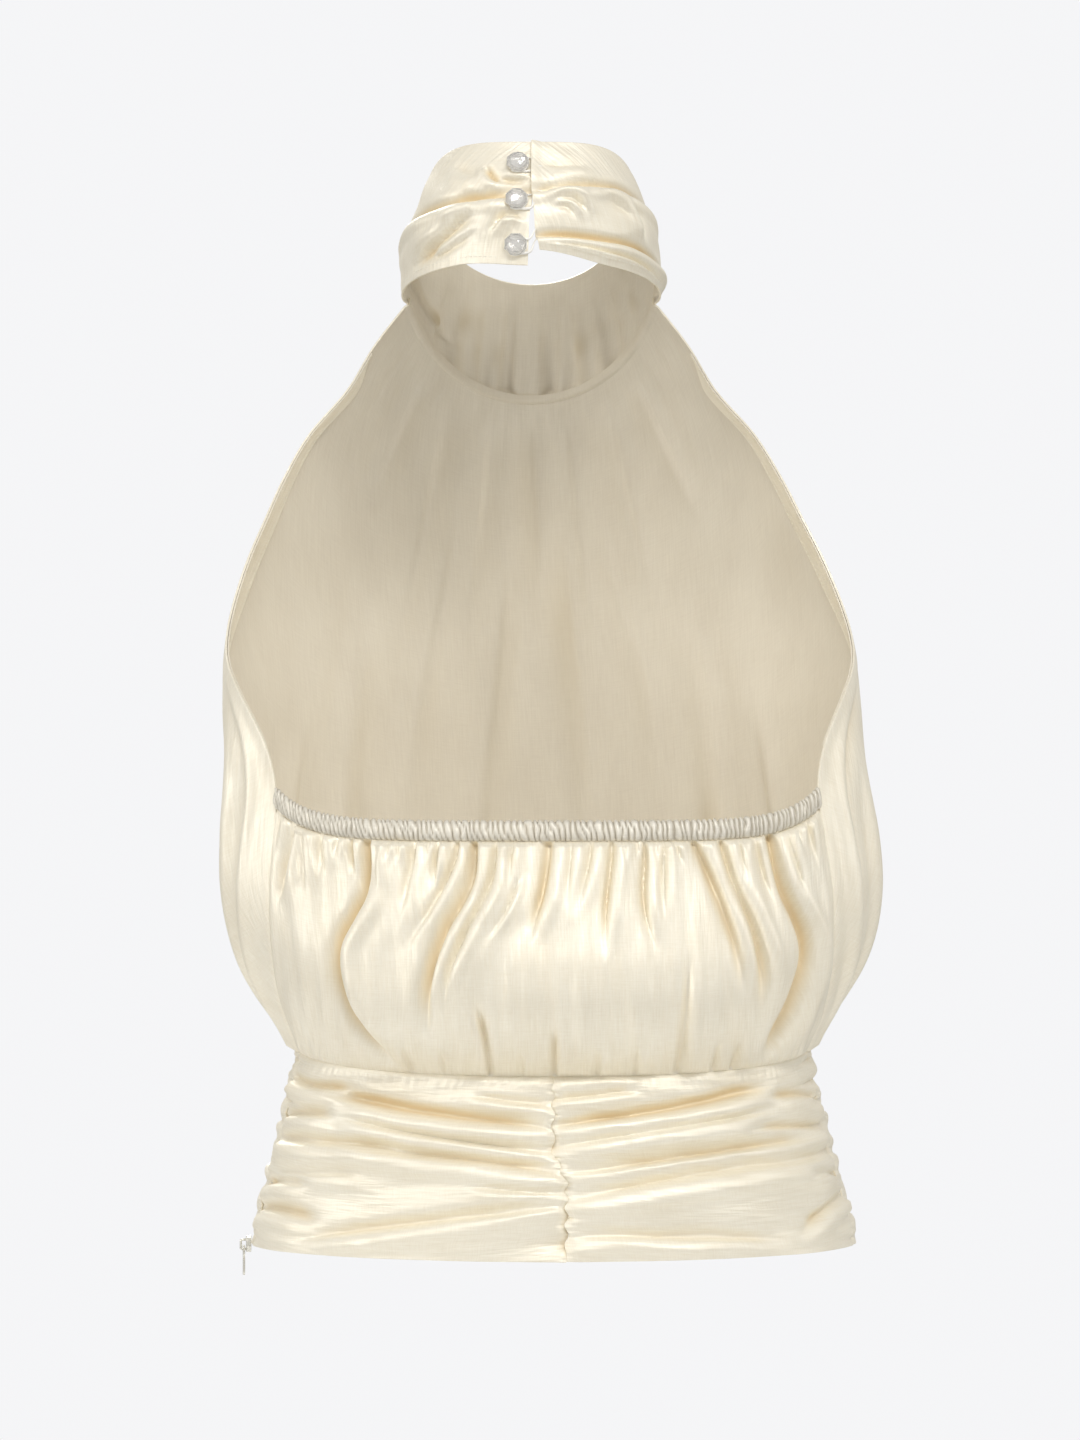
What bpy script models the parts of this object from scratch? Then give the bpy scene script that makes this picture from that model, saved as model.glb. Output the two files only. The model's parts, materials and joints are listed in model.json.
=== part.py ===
"""Halter neck top: a draped mock-neck collar with three crystal buttons, a bare back with a gathered
elastic edge, a bloused bodice and a ruched waistband, in the hollow form it has when it is worn.

Frame: metres, +Z up, the front faces -Y, the wearer's left is +X, and the origin is the centre of the
collar ring. Angles round the body are in degrees from centre front (-Y) towards the wearer's left (+X),
so the centre back is 180. Heights in tables are given as "down", the distance below the origin.
"""

import math

import bmesh
import bpy
import numpy as np
from mathutils import Matrix, Vector

MM = 0.001

# Cloth
CLOTH = 1.5 * MM
FACING_CLOTH = 1.0 * MM
SEAM_GAP = 0.3 * MM
SIDE_SEAM_GAP = 0.45 * MM
LEAN = -10.5 * MM  # how far the hips stand to the wearer's right of the collar
LEAN_TOP, LEAN_FOOT = 50 * MM, 360 * MM  # the heights down between which the lean grows

# Main heights, down from the origin, at the side seams
SIDE_SEAM_TOP = 252.7 * MM
WAIST_SEAM = 381 * MM
HEM = 474.6 * MM
CASING_HEIGHT = 9.2 * MM

# Sections of the bodice, from the collar seam to the waist seam (mm and degrees).
# down: height of the section's edge; front_drop, back_drop: how far its middle hangs below that edge;
# flat: how level the back runs before it rises to the edge; edge: angle of the panel edge (the armhole,
# then the side seam).
BODY_COLUMNS = ("down", "front_drop", "back_drop", "flat", "half_width", "edge", "front", "mid", "back")
BODY_ROWS = (
    (15.6, 45, 15.5, 6.0, 63.5, 77, -78.0, -7.0, 88.0),
    (35.0, 41, 15.5, 6.0, 80.6, 75, -84.0, -17.9, 88.0),
    (56.0, 36, 15.5, 6.0, 95.3, 74, -91.5, -31.3, 88.0),
    (78.0, 30, 15.5, 6.0, 115.2, 75, -99.5, -39.3, 88.0),
    (98.0, 25, 15.5, 6.0, 126.7, 77, -107.0, -41.2, 88.0),
    (120.0, 20, 15.5, 6.0, 136.1, 80, -114.0, -39.0, 88.0),
    (140.0, 15, 15.5, 6.0, 144.1, 83, -119.0, -34.7, 88.0),
    (160.6, 11, 15.5, 6.0, 150.2, 87, -123.0, -27.0, 88.0),
    (185.0, 7, 15.5, 6.0, 154.5, 96, -126.0, -13.0, 88.0),
    (207.0, 4, 15.5, 6.0, 155.6, 110, -127.5, -2.0, 88.0),
    (230.0, 2, 15.5, 6.0, 156.0, 120, -128.0, 0.0, 88.0),
    (252.7, 0, 15.5, 6.0, 157.0, 124, -127.5, 0.0, 87.0),
    (275.0, 0, 15.0, 5.5, 158.0, 123, -126.0, 0.0, 93.5),
    (300.0, 0, 14.0, 5.0, 158.0, 121, -123.0, 0.0, 102.5),
    (325.0, 0, 12.5, 4.0, 153.5, 118, -119.0, 0.0, 109.0),
    (345.0, 0, 11.0, 3.5, 146.5, 114, -114.0, 0.0, 109.5),
    (360.0, 0, 9.5, 3.0, 139.0, 110, -108.0, 0.0, 105.0),
    (372.0, 0, 8.5, 2.7, 131.5, 106, -100.5, 0.0, 96.5),
    (381.0, 0, 7.6, 2.5, 126.5, 102, -93.5, 0.0, 87.0),
)

# Sections of the waistband, from the waist seam to the hem (mm and degrees)
BAND_COLUMNS = ("down", "back_drop", "half_width", "seam", "front", "back")
BAND_ROWS = (
    (381.0, 7.6, 126.5, 102, -93.5, 87.0),
    (390.0, 6.5, 128.0, 101, -94.5, 88.5),
    (410.0, 4.0, 131.5, 100, -96.5, 91.5),
    (432.0, 2.0, 137.5, 99, -99.5, 95.5),
    (455.0, 0.5, 143.0, 98, -102.5, 100.0),
    (474.6, 0.0, 147.5, 97, -105.0, 104.0),
)

# Collar: an ellipse at its foot and one at its top edge, both in plan, and the heights of the edges
COLLAR_FOOT = (63.5 * MM, 71.0 * MM, -7.0 * MM)  # half width, half depth, centre y
COLLAR_TOP = (51.5 * MM, 53.5 * MM, -6.5 * MM)
COLLAR_TOP_MEAN, COLLAR_TOP_TILT, COLLAR_TOP_LOBE = 27.2 * MM, 30.2 * MM, 6.3 * MM
NECK_CORNER = 77.0  # angle where the armhole edge meets the collar
NECK_CORNER_DOWN = 15.6 * MM
NECK_DIP = 45.0 * MM  # how far the collar seam dips at the centre front
DIP_ROUNDNESS = 1.2  # 1 makes the dip a parabola, more rounds off its two ends
COLLAR_BULGE = 5.0 * MM
COLLAR_HEIGHT = 57.5 * MM  # at the centre back
COLLAR_OPENING = 1.0 * MM  # the slit at the centre back
COLLAR_SEAM_GAP = 0.45 * MM

# Folds that run down the back panel. from, to: heights down; five places across, from the top of the
# fold to its foot, plus towards the wearer's left of the collar's centre (all in mm).
DOWN_COLUMNS = ("from", "to", "depth", "width", "top", "upper", "middle", "lower", "foot")
BACK_FOLDS = (
    (277, 383, 6.0, 4.6, 84.9, 81.6, 90.1, 86.4, 66.1),
    (279, 320, 2.4, 3.2, 75.4, 72.1, 71.1, 74.9, 82.9),
    (284, 363, 3.8, 4.0, 24.0, 29.7, 42.9, 48.6, 48.6),
    (278, 356, 3.2, 3.8, 16.0, 19.5, 27.8, 35.8, 39.1),
    (278, 322, 2.6, 3.6, -9.5, -8.1, -5.7, -2.2, 1.4),
    (279, 330, 2.6, 3.6, -40.2, -37.3, -35.5, -35.0, -35.5),
    (279, 326, 2.6, 3.4, -54.3, -53.9, -53.8, -55.8, -60.0),
    (280, 331, 3.2, 3.8, -79.4, -84.9, -91.9, -96.8, -99.7),
    (278, 357, 3.8, 4.0, -94.9, -96.8, -105.8, -110.3, -111.0),
    (278, 381, 5.6, 4.6, -116.2, -122.3, -132.0, -126.5, -108.2),
    (352, 386, 2.4, 3.2, 23.1, 22.0, 21.0, 20.0, 18.4),
    (360, 386, 2.2, 3.2, -11.4, -11.6, -11.8, -12.0, -12.3),
    (341, 384, 2.4, 3.4, -74.2, -73.0, -71.3, -70.0, -68.5),
)
# The same on the front panel: soft folds that fall from the collar and over the bust
FRONT_FOLDS = (
    (50, 150, 2.4, 9.0, 38.0, 43.0, 50.0, 57.0, 62.0),
    (58, 165, 2.2, 9.0, 17.0, 20.0, 23.0, 27.0, 31.0),
    (60, 170, 2.2, 9.0, -15.0, -17.0, -20.0, -25.0, -30.0),
    (50, 155, 2.4, 9.0, -37.0, -41.0, -47.0, -55.0, -61.0),
    (262, 379, 3.6, 9.0, 96.0, 101.0, 105.0, 102.0, 90.0),
    (285, 379, 3.0, 9.0, 55.0, 58.0, 60.0, 57.0, 50.0),
    (300, 379, 2.6, 9.0, 8.0, 10.0, 12.0, 13.0, 12.0),
    (280, 379, 3.0, 9.0, -44.0, -48.0, -52.0, -51.0, -44.0),
    (265, 379, 3.6, 9.0, -92.0, -97.0, -103.0, -101.0, -90.0),
)
# Gathers at a seam: how many across the panel, their height, and how far they run (mm)
BACK_TOP_GATHERS = (26, 0.9, 17.0)
BACK_FOOT_GATHERS = (24, 0.8, 14.0)
FRONT_FOOT_GATHERS = (14, 1.1, 22.0)
# The gathers wander to and fro along the seam, and their length varies. size, waves, start
GATHER_WANDER = ((0.30, 3.3, 1.0), (0.22, 7.7, 2.0))
GATHER_LENGTHS = (0.45, 5.1, 0.6, 11.3)
GATHER_SEAM_FADE = 0.03
SWELL_HEIGHT, SWELL_PLACE = 0.35, 1.9  # of the low swells beside a fold, in its depth and its width
DOWN_FOLD_FADE, ROUND_FOLD_FADE = 0.16, 0.18  # shares of a fold's length over which it fades out

# Folds that run round the waistband and the collar. start, middle, end: three shares of the way round
# the piece, from the centre back on a back piece and from the right side seam on the front one;
# at_start, at_middle, at_end: the share of the way down it there; depth in mm, width in heights.
ROUND_COLUMNS = ("start", "middle", "end", "at_start", "at_middle", "at_end", "depth", "width")
BAND_LEFT_FOLDS = (
    (0.00, 0.25, 0.62, 0.295, 0.255, 0.200, 3.4, 0.034),
    (0.02, 0.26, 0.52, 0.410, 0.355, 0.240, 2.2, 0.028),
    (0.00, 0.16, 0.40, 0.570, 0.470, 0.400, 2.8, 0.034),
    (0.45, 0.75, 1.00, 0.460, 0.490, 0.520, 2.6, 0.034),
    (0.00, 0.22, 0.55, 0.715, 0.780, 0.900, 2.6, 0.034),
    (0.78, 0.90, 1.00, 0.100, 0.105, 0.120, 1.8, 0.028),
)
BAND_RIGHT_FOLDS = (
    (0.00, 0.30, 0.66, 0.270, 0.215, 0.120, 3.2, 0.034),
    (0.00, 0.38, 0.84, 0.545, 0.470, 0.415, 3.0, 0.034),
    (0.00, 0.36, 0.90, 0.690, 0.525, 0.500, 3.6, 0.036),
    (0.62, 0.75, 1.00, 0.350, 0.370, 0.420, 2.2, 0.030),
    (0.70, 0.80, 1.00, 0.860, 0.780, 0.745, 2.4, 0.032),
    (0.00, 0.20, 0.50, 0.860, 0.870, 0.900, 1.6, 0.030),
)
BAND_FRONT_FOLDS = (
    (0.00, 0.30, 0.70, 0.180, 0.240, 0.280, 3.0, 0.036),
    (0.34, 0.70, 1.00, 0.340, 0.300, 0.200, 2.8, 0.036),
    (0.00, 0.42, 1.00, 0.420, 0.520, 0.450, 3.2, 0.038),
    (0.00, 0.35, 0.75, 0.620, 0.700, 0.740, 2.8, 0.036),
    (0.30, 0.66, 1.00, 0.860, 0.800, 0.680, 2.8, 0.036),
)
SEAM_FADE = 0.06  # the share of a piece, at its seams, where its folds die out
BAND_PUFFS, BAND_PUFF_DEPTH, BAND_PUFF_REACH = 7, 3.0 * MM, 0.24  # at the side seams
PUFF_ROUNDNESS, PUFF_MIDDLE = 0.6, 0.75
BACK_PUCKERS, BACK_PUCKER_DEPTH, BACK_PUCKER_REACH = 6.5, 2.0 * MM, 0.10  # at the centre back seam
PUCKER_MIDDLE = 1.1
BAND_TOP_FADE, BAND_HEM_FADE, BAND_HEM_SHARE = 0.06, 0.05, 0.35  # the folds keep a share at the hem
BAND_DROP_FLATNESS = 2.5

# The collar's folds, in degrees from the centre back, plus towards the wearer's left; the heights are
# shares of the way up the band.
COLLAR_FOLDS = (
    (6, 40, 88, 0.53, 0.54, 0.67, 3.4, 0.070),
    (16, 44, 78, 0.48, 0.31, 0.14, 3.0, 0.065),
    (-62, -30, -4, 0.83, 0.67, 0.55, 2.8, 0.065),
    (-95, -45, -4, 0.23, 0.25, 0.19, 3.0, 0.060),
    (96, 180, 262, 0.62, 0.36, 0.60, 3.0, 0.080),
    (120, 182, 244, 0.84, 0.66, 0.82, 2.4, 0.070),
    (-160, -120, -84, 0.30, 0.42, 0.55, 2.4, 0.070),
)

# Mesh density: cells across and cells down
BACK_COLUMNS, FRONT_COLUMNS = 96, 52
SIDE_SEAM_ROWS, ARMHOLE_ROWS = 8, 9
FRONT_CROWDING = 0.60  # 0 spaces a panel's columns evenly, towards 1 crowds them at its two edges
BAND_CROWDING = 0.82
BAND_BACK_CELLS = (11, 27)
BAND_FRONT_CELLS = (15, 27)
COLLAR_CELLS = (48, 9)

# The elastic casing
CASING_PUCKERS = 96
CASING_WALL = 2.4 * MM
PUCKER_HEIGHT = 0.8 * MM
CASING_END_GAP = 0.5 * MM
CASING_END_FADE = 2  # puckers that grow from nothing at each end

# Armhole facings: their width in the front panel's columns, and where their outer edge lies
FACING_COLUMNS = 6
FACING_EDGE = 0.9975  # 1 is the panel's own edge
FACING_GAP = 0.8 * MM
FACING_SHARE = 0.10  # the share of the panel's half width, at its edge, that stays smooth for them
FRONT_NECK_FADE = 30 * MM  # the folds grow from nothing over this height below the collar seam
BACK_SEAM_FADE = 0.05  # the share of the back panel, at its side seams, where its folds die out
COLLAR_EDGE_FADE = 0.10  # the same at the collar's top and bottom edges

# Buttons and loops
BUTTON_ACROSS = 5.8 * MM  # from the slit to a button's centre
BUTTON_HEIGHTS = (0.810, 0.505, 0.155)  # shares of the way up the collar
BUTTON_SIDES = 12
BUTTON_PROFILE = (  # radius, height above the cloth, from the top down (mm)
    (0.0, 5.4),
    (1.7, 5.3),
    (3.8, 4.3),
    (5.3, 2.7),
    (5.0, 2.1),
    (2.7, 2.0),
    (2.7, 0.3),
    (0.0, 0.3),
)
LOOP_RADIUS = 0.6 * MM
LOOP_REACH = 3.7 * MM  # from a button's centre to the middle of the cord
LOOP_LIFT = 1.0 * MM  # the middle of the cord above the cloth
LOOP_ROOT = 4.2 * MM  # how far past the slit the cord is sewn down
LOOP_ARC_STEPS = 6
LOOP_ROOT_RISE, LOOP_SLIT_RISE = 0.45, 0.62  # half the space between the legs there, in LOOP_REACH

# Zip slider and pull, in the slider's own frame: x outwards, y along the cloth, z up
ZIP_ANGLE = 96.2
SLIDER_SIZE = (2.4 * MM, 5.2 * MM, 8.0 * MM)
SLIDER_CENTRE_DOWN = 474.3 * MM
SLIDER_GAP = -0.1 * MM  # from the smooth line of the hem, which the ruched cloth there lies inside
BAIL_RADIUS = 0.6 * MM
BAIL_REACH = 2.6 * MM  # from the slider's face to the middle of the bail's upright
BAIL_ENDS = (-1.4 * MM, 3.2 * MM)  # heights of its two legs from the pull's pivot
PIVOT_OUT = 1.1 * MM  # from the slider's face
PIVOT_DOWN = 475.6 * MM
PULL_THICKNESS = 1.0 * MM
PULL_WIDTH, PULL_FOOT_WIDTH = 4.4 * MM, 3.4 * MM
PULL_LENGTH = 14.0 * MM  # below the pivot
PULL_BAR = 0.5 * MM  # half the height of the bar that the bail holds
WINDOW_HALF_WIDTH, WINDOW_LENGTH = 1.1 * MM, 3.4 * MM

# Colours (linear RGB) and finishes
SATIN = ((0.86, 0.78, 0.60, 1.0), 0.38, 0.0)
SATIN_EDGE = ((0.72, 0.68, 0.58, 1.0), 0.45, 0.0)
CRYSTAL = ((0.93, 0.94, 0.93, 1.0), 0.08, 0.0)
CORD = ((0.88, 0.86, 0.80, 1.0), 0.60, 0.0)
ZIP_METAL = ((0.80, 0.77, 0.70, 1.0), 0.30, 0.9)


# ---------------------------------------------------------------- tables and curves


def smooth_curve(at, knots, values):
    """A smooth curve through the table's values: cubic between the knots, with averaged slopes."""
    knots, values = np.asarray(knots, float), np.asarray(values, float)
    slopes = np.gradient(values, knots)
    i = np.clip(np.searchsorted(knots, at, side="right") - 1, 0, len(knots) - 2)
    step = knots[i + 1] - knots[i]
    t = np.clip((at - knots[i]) / step, 0, 1)
    return (
        values[i] * (1 + 2 * t) * (1 - t) ** 2
        + slopes[i] * step * t * (1 - t) ** 2
        + values[i + 1] * t**2 * (3 - 2 * t)
        - slopes[i + 1] * step * t**2 * (1 - t)
    )


def crowded(count, crowding):
    """Shares from 0 to 1 that lie closer together at both ends."""
    even = np.linspace(0, 1, count + 1)
    return even - crowding * np.sin(2 * math.pi * even) / (2 * math.pi)


def column(rows, columns, name):
    return [row[columns.index(name)] for row in rows]


def at_height(rows, columns, name, down):
    """The value of a named column at a height down (metres)."""
    return smooth_curve(down / MM, column(rows, columns, "down"), column(rows, columns, name))


def smooth_step(t):
    t = np.clip(t, 0, 1)
    return t * t * (3 - 2 * t)


def lean_at(down):
    return LEAN * smooth_step((down - LEAN_TOP) / (LEAN_FOOT - LEAN_TOP))


def section_point(angle, half_width, front, mid, back):
    """A point of a section made of two half ellipses, one in front of its widest line, one behind."""
    turn = np.radians(angle)
    depth = np.where(np.cos(turn) > 0, mid - front, back - mid)
    return half_width * np.sin(turn), mid - depth * np.cos(turn)


# ---------------------------------------------------------------- the forms of the pieces


def dip_share(share):
    """How much of its dip a front section has at this share of the way from its middle to its edge."""
    return (1 - np.clip(share, 0, 1) ** 2) ** DIP_ROUNDNESS


def body_point(angle, down):
    """The bodice at an angle round the body, on the section whose edge is at this height down."""
    angle, down = np.broadcast_arrays(np.asarray(angle, float), np.asarray(down, float))

    def value(name):
        return at_height(BODY_ROWS, BODY_COLUMNS, name, down)

    x, y = section_point(
        angle, value("half_width") * MM, value("front") * MM, value("mid") * MM, value("back") * MM
    )
    edge, turn = value("edge"), np.abs(angle)
    in_front = dip_share(turn / edge)
    behind = 1 - np.clip((180 - turn) / (180 - edge), 0, 1) ** value("flat")
    drop = np.where(turn <= edge, value("front_drop") * in_front, value("back_drop") * behind) * MM
    return np.stack([x + lean_at(down), y, -down - drop], axis=-1)


def band_point(angle, down):
    """The waistband at an angle round the body and a height down at the side seam."""
    angle, down = np.broadcast_arrays(np.asarray(angle, float), np.asarray(down, float))

    def value(name):
        return at_height(BAND_ROWS, BAND_COLUMNS, name, down)

    x, y = section_point(angle, value("half_width") * MM, value("front") * MM, 0.0, value("back") * MM)
    seam, turn = value("seam"), np.abs(angle)
    behind = 1 - np.clip((180 - turn) / (180 - seam), 0, 1) ** BAND_DROP_FLATNESS
    drop = np.where(turn <= seam, 0, value("back_drop") * behind) * MM
    return np.stack([x + lean_at(down), y, -down - drop], axis=-1)


def collar_point(turn, up):
    """The collar at a turn from the centre back (degrees, plus to the wearer's left), up from 0 to 1."""
    turn, up = np.broadcast_arrays(np.asarray(turn, float), np.asarray(up, float))
    a = np.radians(turn)
    sin, cos = np.sin(a), np.cos(a)
    from_front = np.abs(180 - np.abs(turn))
    before = NECK_CORNER_DOWN * (1 - cos) / (1 + math.cos(math.radians(NECK_CORNER)))
    dip = NECK_DIP * dip_share(from_front / NECK_CORNER)
    foot_z = -np.minimum(before, NECK_CORNER_DOWN) - dip
    top_z = COLLAR_TOP_MEAN + COLLAR_TOP_TILT * cos + COLLAR_TOP_LOBE * sin**2
    width = COLLAR_FOOT[0] + (COLLAR_TOP[0] - COLLAR_FOOT[0]) * up + COLLAR_BULGE * np.sin(math.pi * up)
    depth = COLLAR_FOOT[1] + (COLLAR_TOP[1] - COLLAR_FOOT[1]) * up + COLLAR_BULGE * np.sin(math.pi * up)
    middle = COLLAR_FOOT[2] + (COLLAR_TOP[2] - COLLAR_FOOT[2]) * up
    return np.stack([width * sin, middle + depth * cos, foot_z + (top_z - foot_z) * up], axis=-1)


# ---------------------------------------------------------------- folds


def fold_profile(away):
    """A valley with a low swell on either side of it; away is counted in fold widths."""
    return SWELL_HEIGHT * np.exp(-((np.abs(away) - SWELL_PLACE) ** 2)) - np.exp(-(away**2))


def folds_down(points, rows):
    """How far each point stands out because of folds that run down the piece."""
    across, down = points[..., 0] / MM, -points[..., 2] / MM
    out = np.zeros(across.shape)
    for row in rows:
        fold = dict(zip(DOWN_COLUMNS, row))
        share = (down - fold["from"]) / (fold["to"] - fold["from"])
        places = [fold[name] for name in DOWN_COLUMNS[4:]]
        middle = smooth_curve(np.clip(share, 0, 1), np.linspace(0, 1, 5), places)
        fade = smooth_step(share / DOWN_FOLD_FADE) * smooth_step((1 - share) / DOWN_FOLD_FADE)
        out += fold["depth"] * MM * fade * fold_profile((across - middle) / fold["width"])
    return out


def folds_round(share, height, rows):
    """The same for folds that run round the piece; share and height are the piece's own 0 to 1."""
    out = np.zeros(np.broadcast(share, height).shape)
    for row in rows:
        fold = dict(zip(ROUND_COLUMNS, row))
        knots = [fold["start"], fold["middle"], fold["end"]]
        along = (share - fold["start"]) / (fold["end"] - fold["start"])
        heights = [fold["at_start"], fold["at_middle"], fold["at_end"]]
        middle = smooth_curve(np.clip(share, knots[0], knots[2]), knots, heights)
        fade = smooth_step(along / ROUND_FOLD_FADE) * smooth_step((1 - along) / ROUND_FOLD_FADE)
        out += fold["depth"] * MM * fade * fold_profile((height - middle) / fold["width"])
    return out


def gathers(share, distance, count, height, reach):
    """Uneven gathers that spring from a seam and die out with the distance from it (metres)."""
    turn = math.pi * share
    wander = sum(size * np.sin(waves * turn + start) for size, waves, start in GATHER_WANDER)
    change, slow, start, fast = GATHER_LENGTHS
    length = reach * MM * (1 + change * np.sin(slow * turn + start) * np.sin(fast * turn))
    wave = np.cos(2 * math.pi * (count * share + wander))
    edges = smooth_step(share / GATHER_SEAM_FADE) * smooth_step((1 - share) / GATHER_SEAM_FADE)
    return height * MM * wave * np.exp(-np.maximum(distance, 0) / length) * edges


def outward(points):
    """Unit normals of a grid of points, rows running down and columns running towards +angle."""
    across = np.gradient(points, axis=1)
    down = np.gradient(points, axis=0)
    normal = np.cross(down, across)
    return normal / np.linalg.norm(normal, axis=-1, keepdims=True)


def level(vectors):
    """The same directions laid level, which keeps a seam's edge at its height."""
    flat = vectors * np.array([1.0, 1.0, 0.0])
    return flat / np.linalg.norm(flat, axis=-1, keepdims=True)


# ---------------------------------------------------------------- making objects


def make_material(name, colour, roughness, metallic):
    material = bpy.data.materials.new(name)
    material.use_nodes = True
    shader = material.node_tree.nodes["Principled BSDF"]
    shader.inputs["Base Color"].default_value = colour
    shader.inputs["Roughness"].default_value = roughness
    shader.inputs["Metallic"].default_value = metallic
    return material


def add_object(name, data, collection, finish):
    data.materials.append(make_material(name + "_finish", *finish))
    obj = bpy.data.objects.new(name, data)
    collection.objects.link(obj)
    return obj


def add_sheet(name, points, thickness, collection, finish=SATIN):
    """A cloth panel: an open sheet through the grid of points, with Solidify for its wall, inwards."""
    rows, columns = points.shape[:2]
    corners = [
        (r * columns + c, (r + 1) * columns + c, (r + 1) * columns + c + 1, r * columns + c + 1)
        for r in range(rows - 1)
        for c in range(columns - 1)
    ]
    mesh = bpy.data.meshes.new(name)
    mesh.from_pydata(points.reshape(-1, 3).tolist(), [], corners)
    mesh.shade_smooth()
    obj = add_object(name, mesh, collection, finish)
    wall = obj.modifiers.new("cloth", "SOLIDIFY")
    wall.thickness = thickness
    wall.offset = -1
    return obj


def add_loft(name, sections, collection, finish):
    """A closed solid through sections that have the same number of points, with flat ends."""
    mesh = bpy.data.meshes.new(name)
    shape = bmesh.new()
    rings = [[shape.verts.new(point) for point in section] for section in sections]
    for first, second in zip(rings, rings[1:]):
        for k in range(len(first)):
            n = (k + 1) % len(first)
            shape.faces.new((first[k], first[n], second[n], second[k]))
    shape.faces.new(rings[0][::-1])
    shape.faces.new(rings[-1])
    bmesh.ops.recalc_face_normals(shape, faces=shape.faces)
    shape.to_mesh(mesh)
    shape.free()
    return add_object(name, mesh, collection, finish)


def add_cord(name, route, radius, collection, finish):
    """A round cord along the route, as a curve with filled caps."""
    curve = bpy.data.curves.new(name, "CURVE")
    curve.dimensions = "3D"
    curve.bevel_depth = radius
    curve.bevel_resolution = 2
    curve.use_fill_caps = True
    spline = curve.splines.new("POLY")
    spline.points.add(len(route) - 1)
    for point, place in zip(spline.points, route):
        point.co = (*place, 1.0)
    return add_object(name, curve, collection, finish)


def frame_matrix(out, up, origin):
    """An object's place: local z along out, local y as near to up as it can be."""
    z = Vector(out).normalized()
    x = Vector(up).cross(z).normalized()
    y = z.cross(x)
    return Matrix.Translation(origin) @ Matrix((x, y, z)).transposed().to_4x4()


# ---------------------------------------------------------------- cloth pieces


def even_rows(low, high, count, point_at):
    """Heights from low to high that lie evenly along the line that point_at draws."""
    fine = np.linspace(low, high, 200)
    line = point_at(fine)
    run = np.concatenate([[0], np.cumsum(np.linalg.norm(np.diff(line, axis=0), axis=1))])
    return np.interp(np.linspace(0, run[-1], count + 1), run, fine)


def front_points(shares, downs):
    """The front panel's outer face; shares run from -1 at the right edge to 1 at the left edge."""
    edge = at_height(BODY_ROWS, BODY_COLUMNS, "edge", downs)
    points = body_point(shares[None, :] * edge[:, None], downs[:, None])
    out = folds_down(points, FRONT_FOLDS)
    out += gathers((shares[None, :] + 1) / 2, WAIST_SEAM - downs[:, None], *FRONT_FOOT_GATHERS)
    at_neck = smooth_step((downs - NECK_CORNER_DOWN) / FRONT_NECK_FADE)
    at_edges = smooth_step((1 - np.abs(shares) - FACING_SHARE) / FACING_SHARE)
    return points + level(outward(points)) * (out * at_neck[:, None] * at_edges[None, :])[..., None]


def side_line(down):
    return body_point(60, down)


def side_seam_rows():
    """Heights of the rows that both bodice panels have, from the casing's foot to the waist seam."""
    return even_rows(
        SIDE_SEAM_TOP + CASING_HEIGHT + SEAM_GAP, WAIST_SEAM - SEAM_GAP / 2, SIDE_SEAM_ROWS, side_line
    )


def front_rows():
    """The armhole's rows, down to the top of the side seam, and then those of the side seam."""
    armhole = even_rows(NECK_CORNER_DOWN + COLLAR_SEAM_GAP / 2, SIDE_SEAM_TOP, ARMHOLE_ROWS, side_line)
    return np.concatenate([armhole, side_seam_rows()])


def front_panel(collection):
    shares = 2 * crowded(FRONT_COLUMNS, FRONT_CROWDING) - 1
    return add_sheet("front_panel", front_points(shares, front_rows()), CLOTH, collection)


def armhole_facing(name, side, collection):
    """A strip inside the front panel, made from the panel's own points along its armhole edge."""
    shares = 2 * crowded(FRONT_COLUMNS, FRONT_CROWDING) - 1
    shares[0], shares[-1] = -FACING_EDGE, FACING_EDGE
    points = front_points(shares, front_rows())
    inside = points - outward(points) * (CLOTH + FACING_GAP)
    rows = slice(1, ARMHOLE_ROWS)
    columns = slice(-1 - FACING_COLUMNS, None) if side > 0 else slice(0, 1 + FACING_COLUMNS)
    return add_sheet(name, inside[rows, columns], FACING_CLOTH, collection)


def back_points(shares, downs):
    """The back panel's outer face; shares run from 0 at the left side seam to 1 at the right one."""
    edge = at_height(BODY_ROWS, BODY_COLUMNS, "edge", downs)
    gap = np.degrees(SIDE_SEAM_GAP / (at_height(BODY_ROWS, BODY_COLUMNS, "half_width", downs) * MM))
    start = (edge + gap)[:, None]
    angles = start + (360 - 2 * start) * shares[None, :]
    points = body_point(wrapped(angles), downs[:, None])
    out = gathers(shares[None, :], downs[:, None] - downs[0], *BACK_TOP_GATHERS)
    out += gathers(shares[None, :], downs[-1] - downs[:, None], *BACK_FOOT_GATHERS)
    edges = smooth_step(shares / BACK_SEAM_FADE) * smooth_step((1 - shares) / BACK_SEAM_FADE)
    out += folds_down(points, BACK_FOLDS) * edges[None, :]
    return points + level(outward(points)) * out[..., None]


def wrapped(angle):
    """body_point takes angles from -180 to 180."""
    return (np.asarray(angle) + 180) % 360 - 180


def back_panel(collection):
    shares = np.linspace(0, 1, BACK_COLUMNS + 1)
    return add_sheet("back_panel", back_points(shares, side_seam_rows()), CLOTH, collection)


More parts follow.
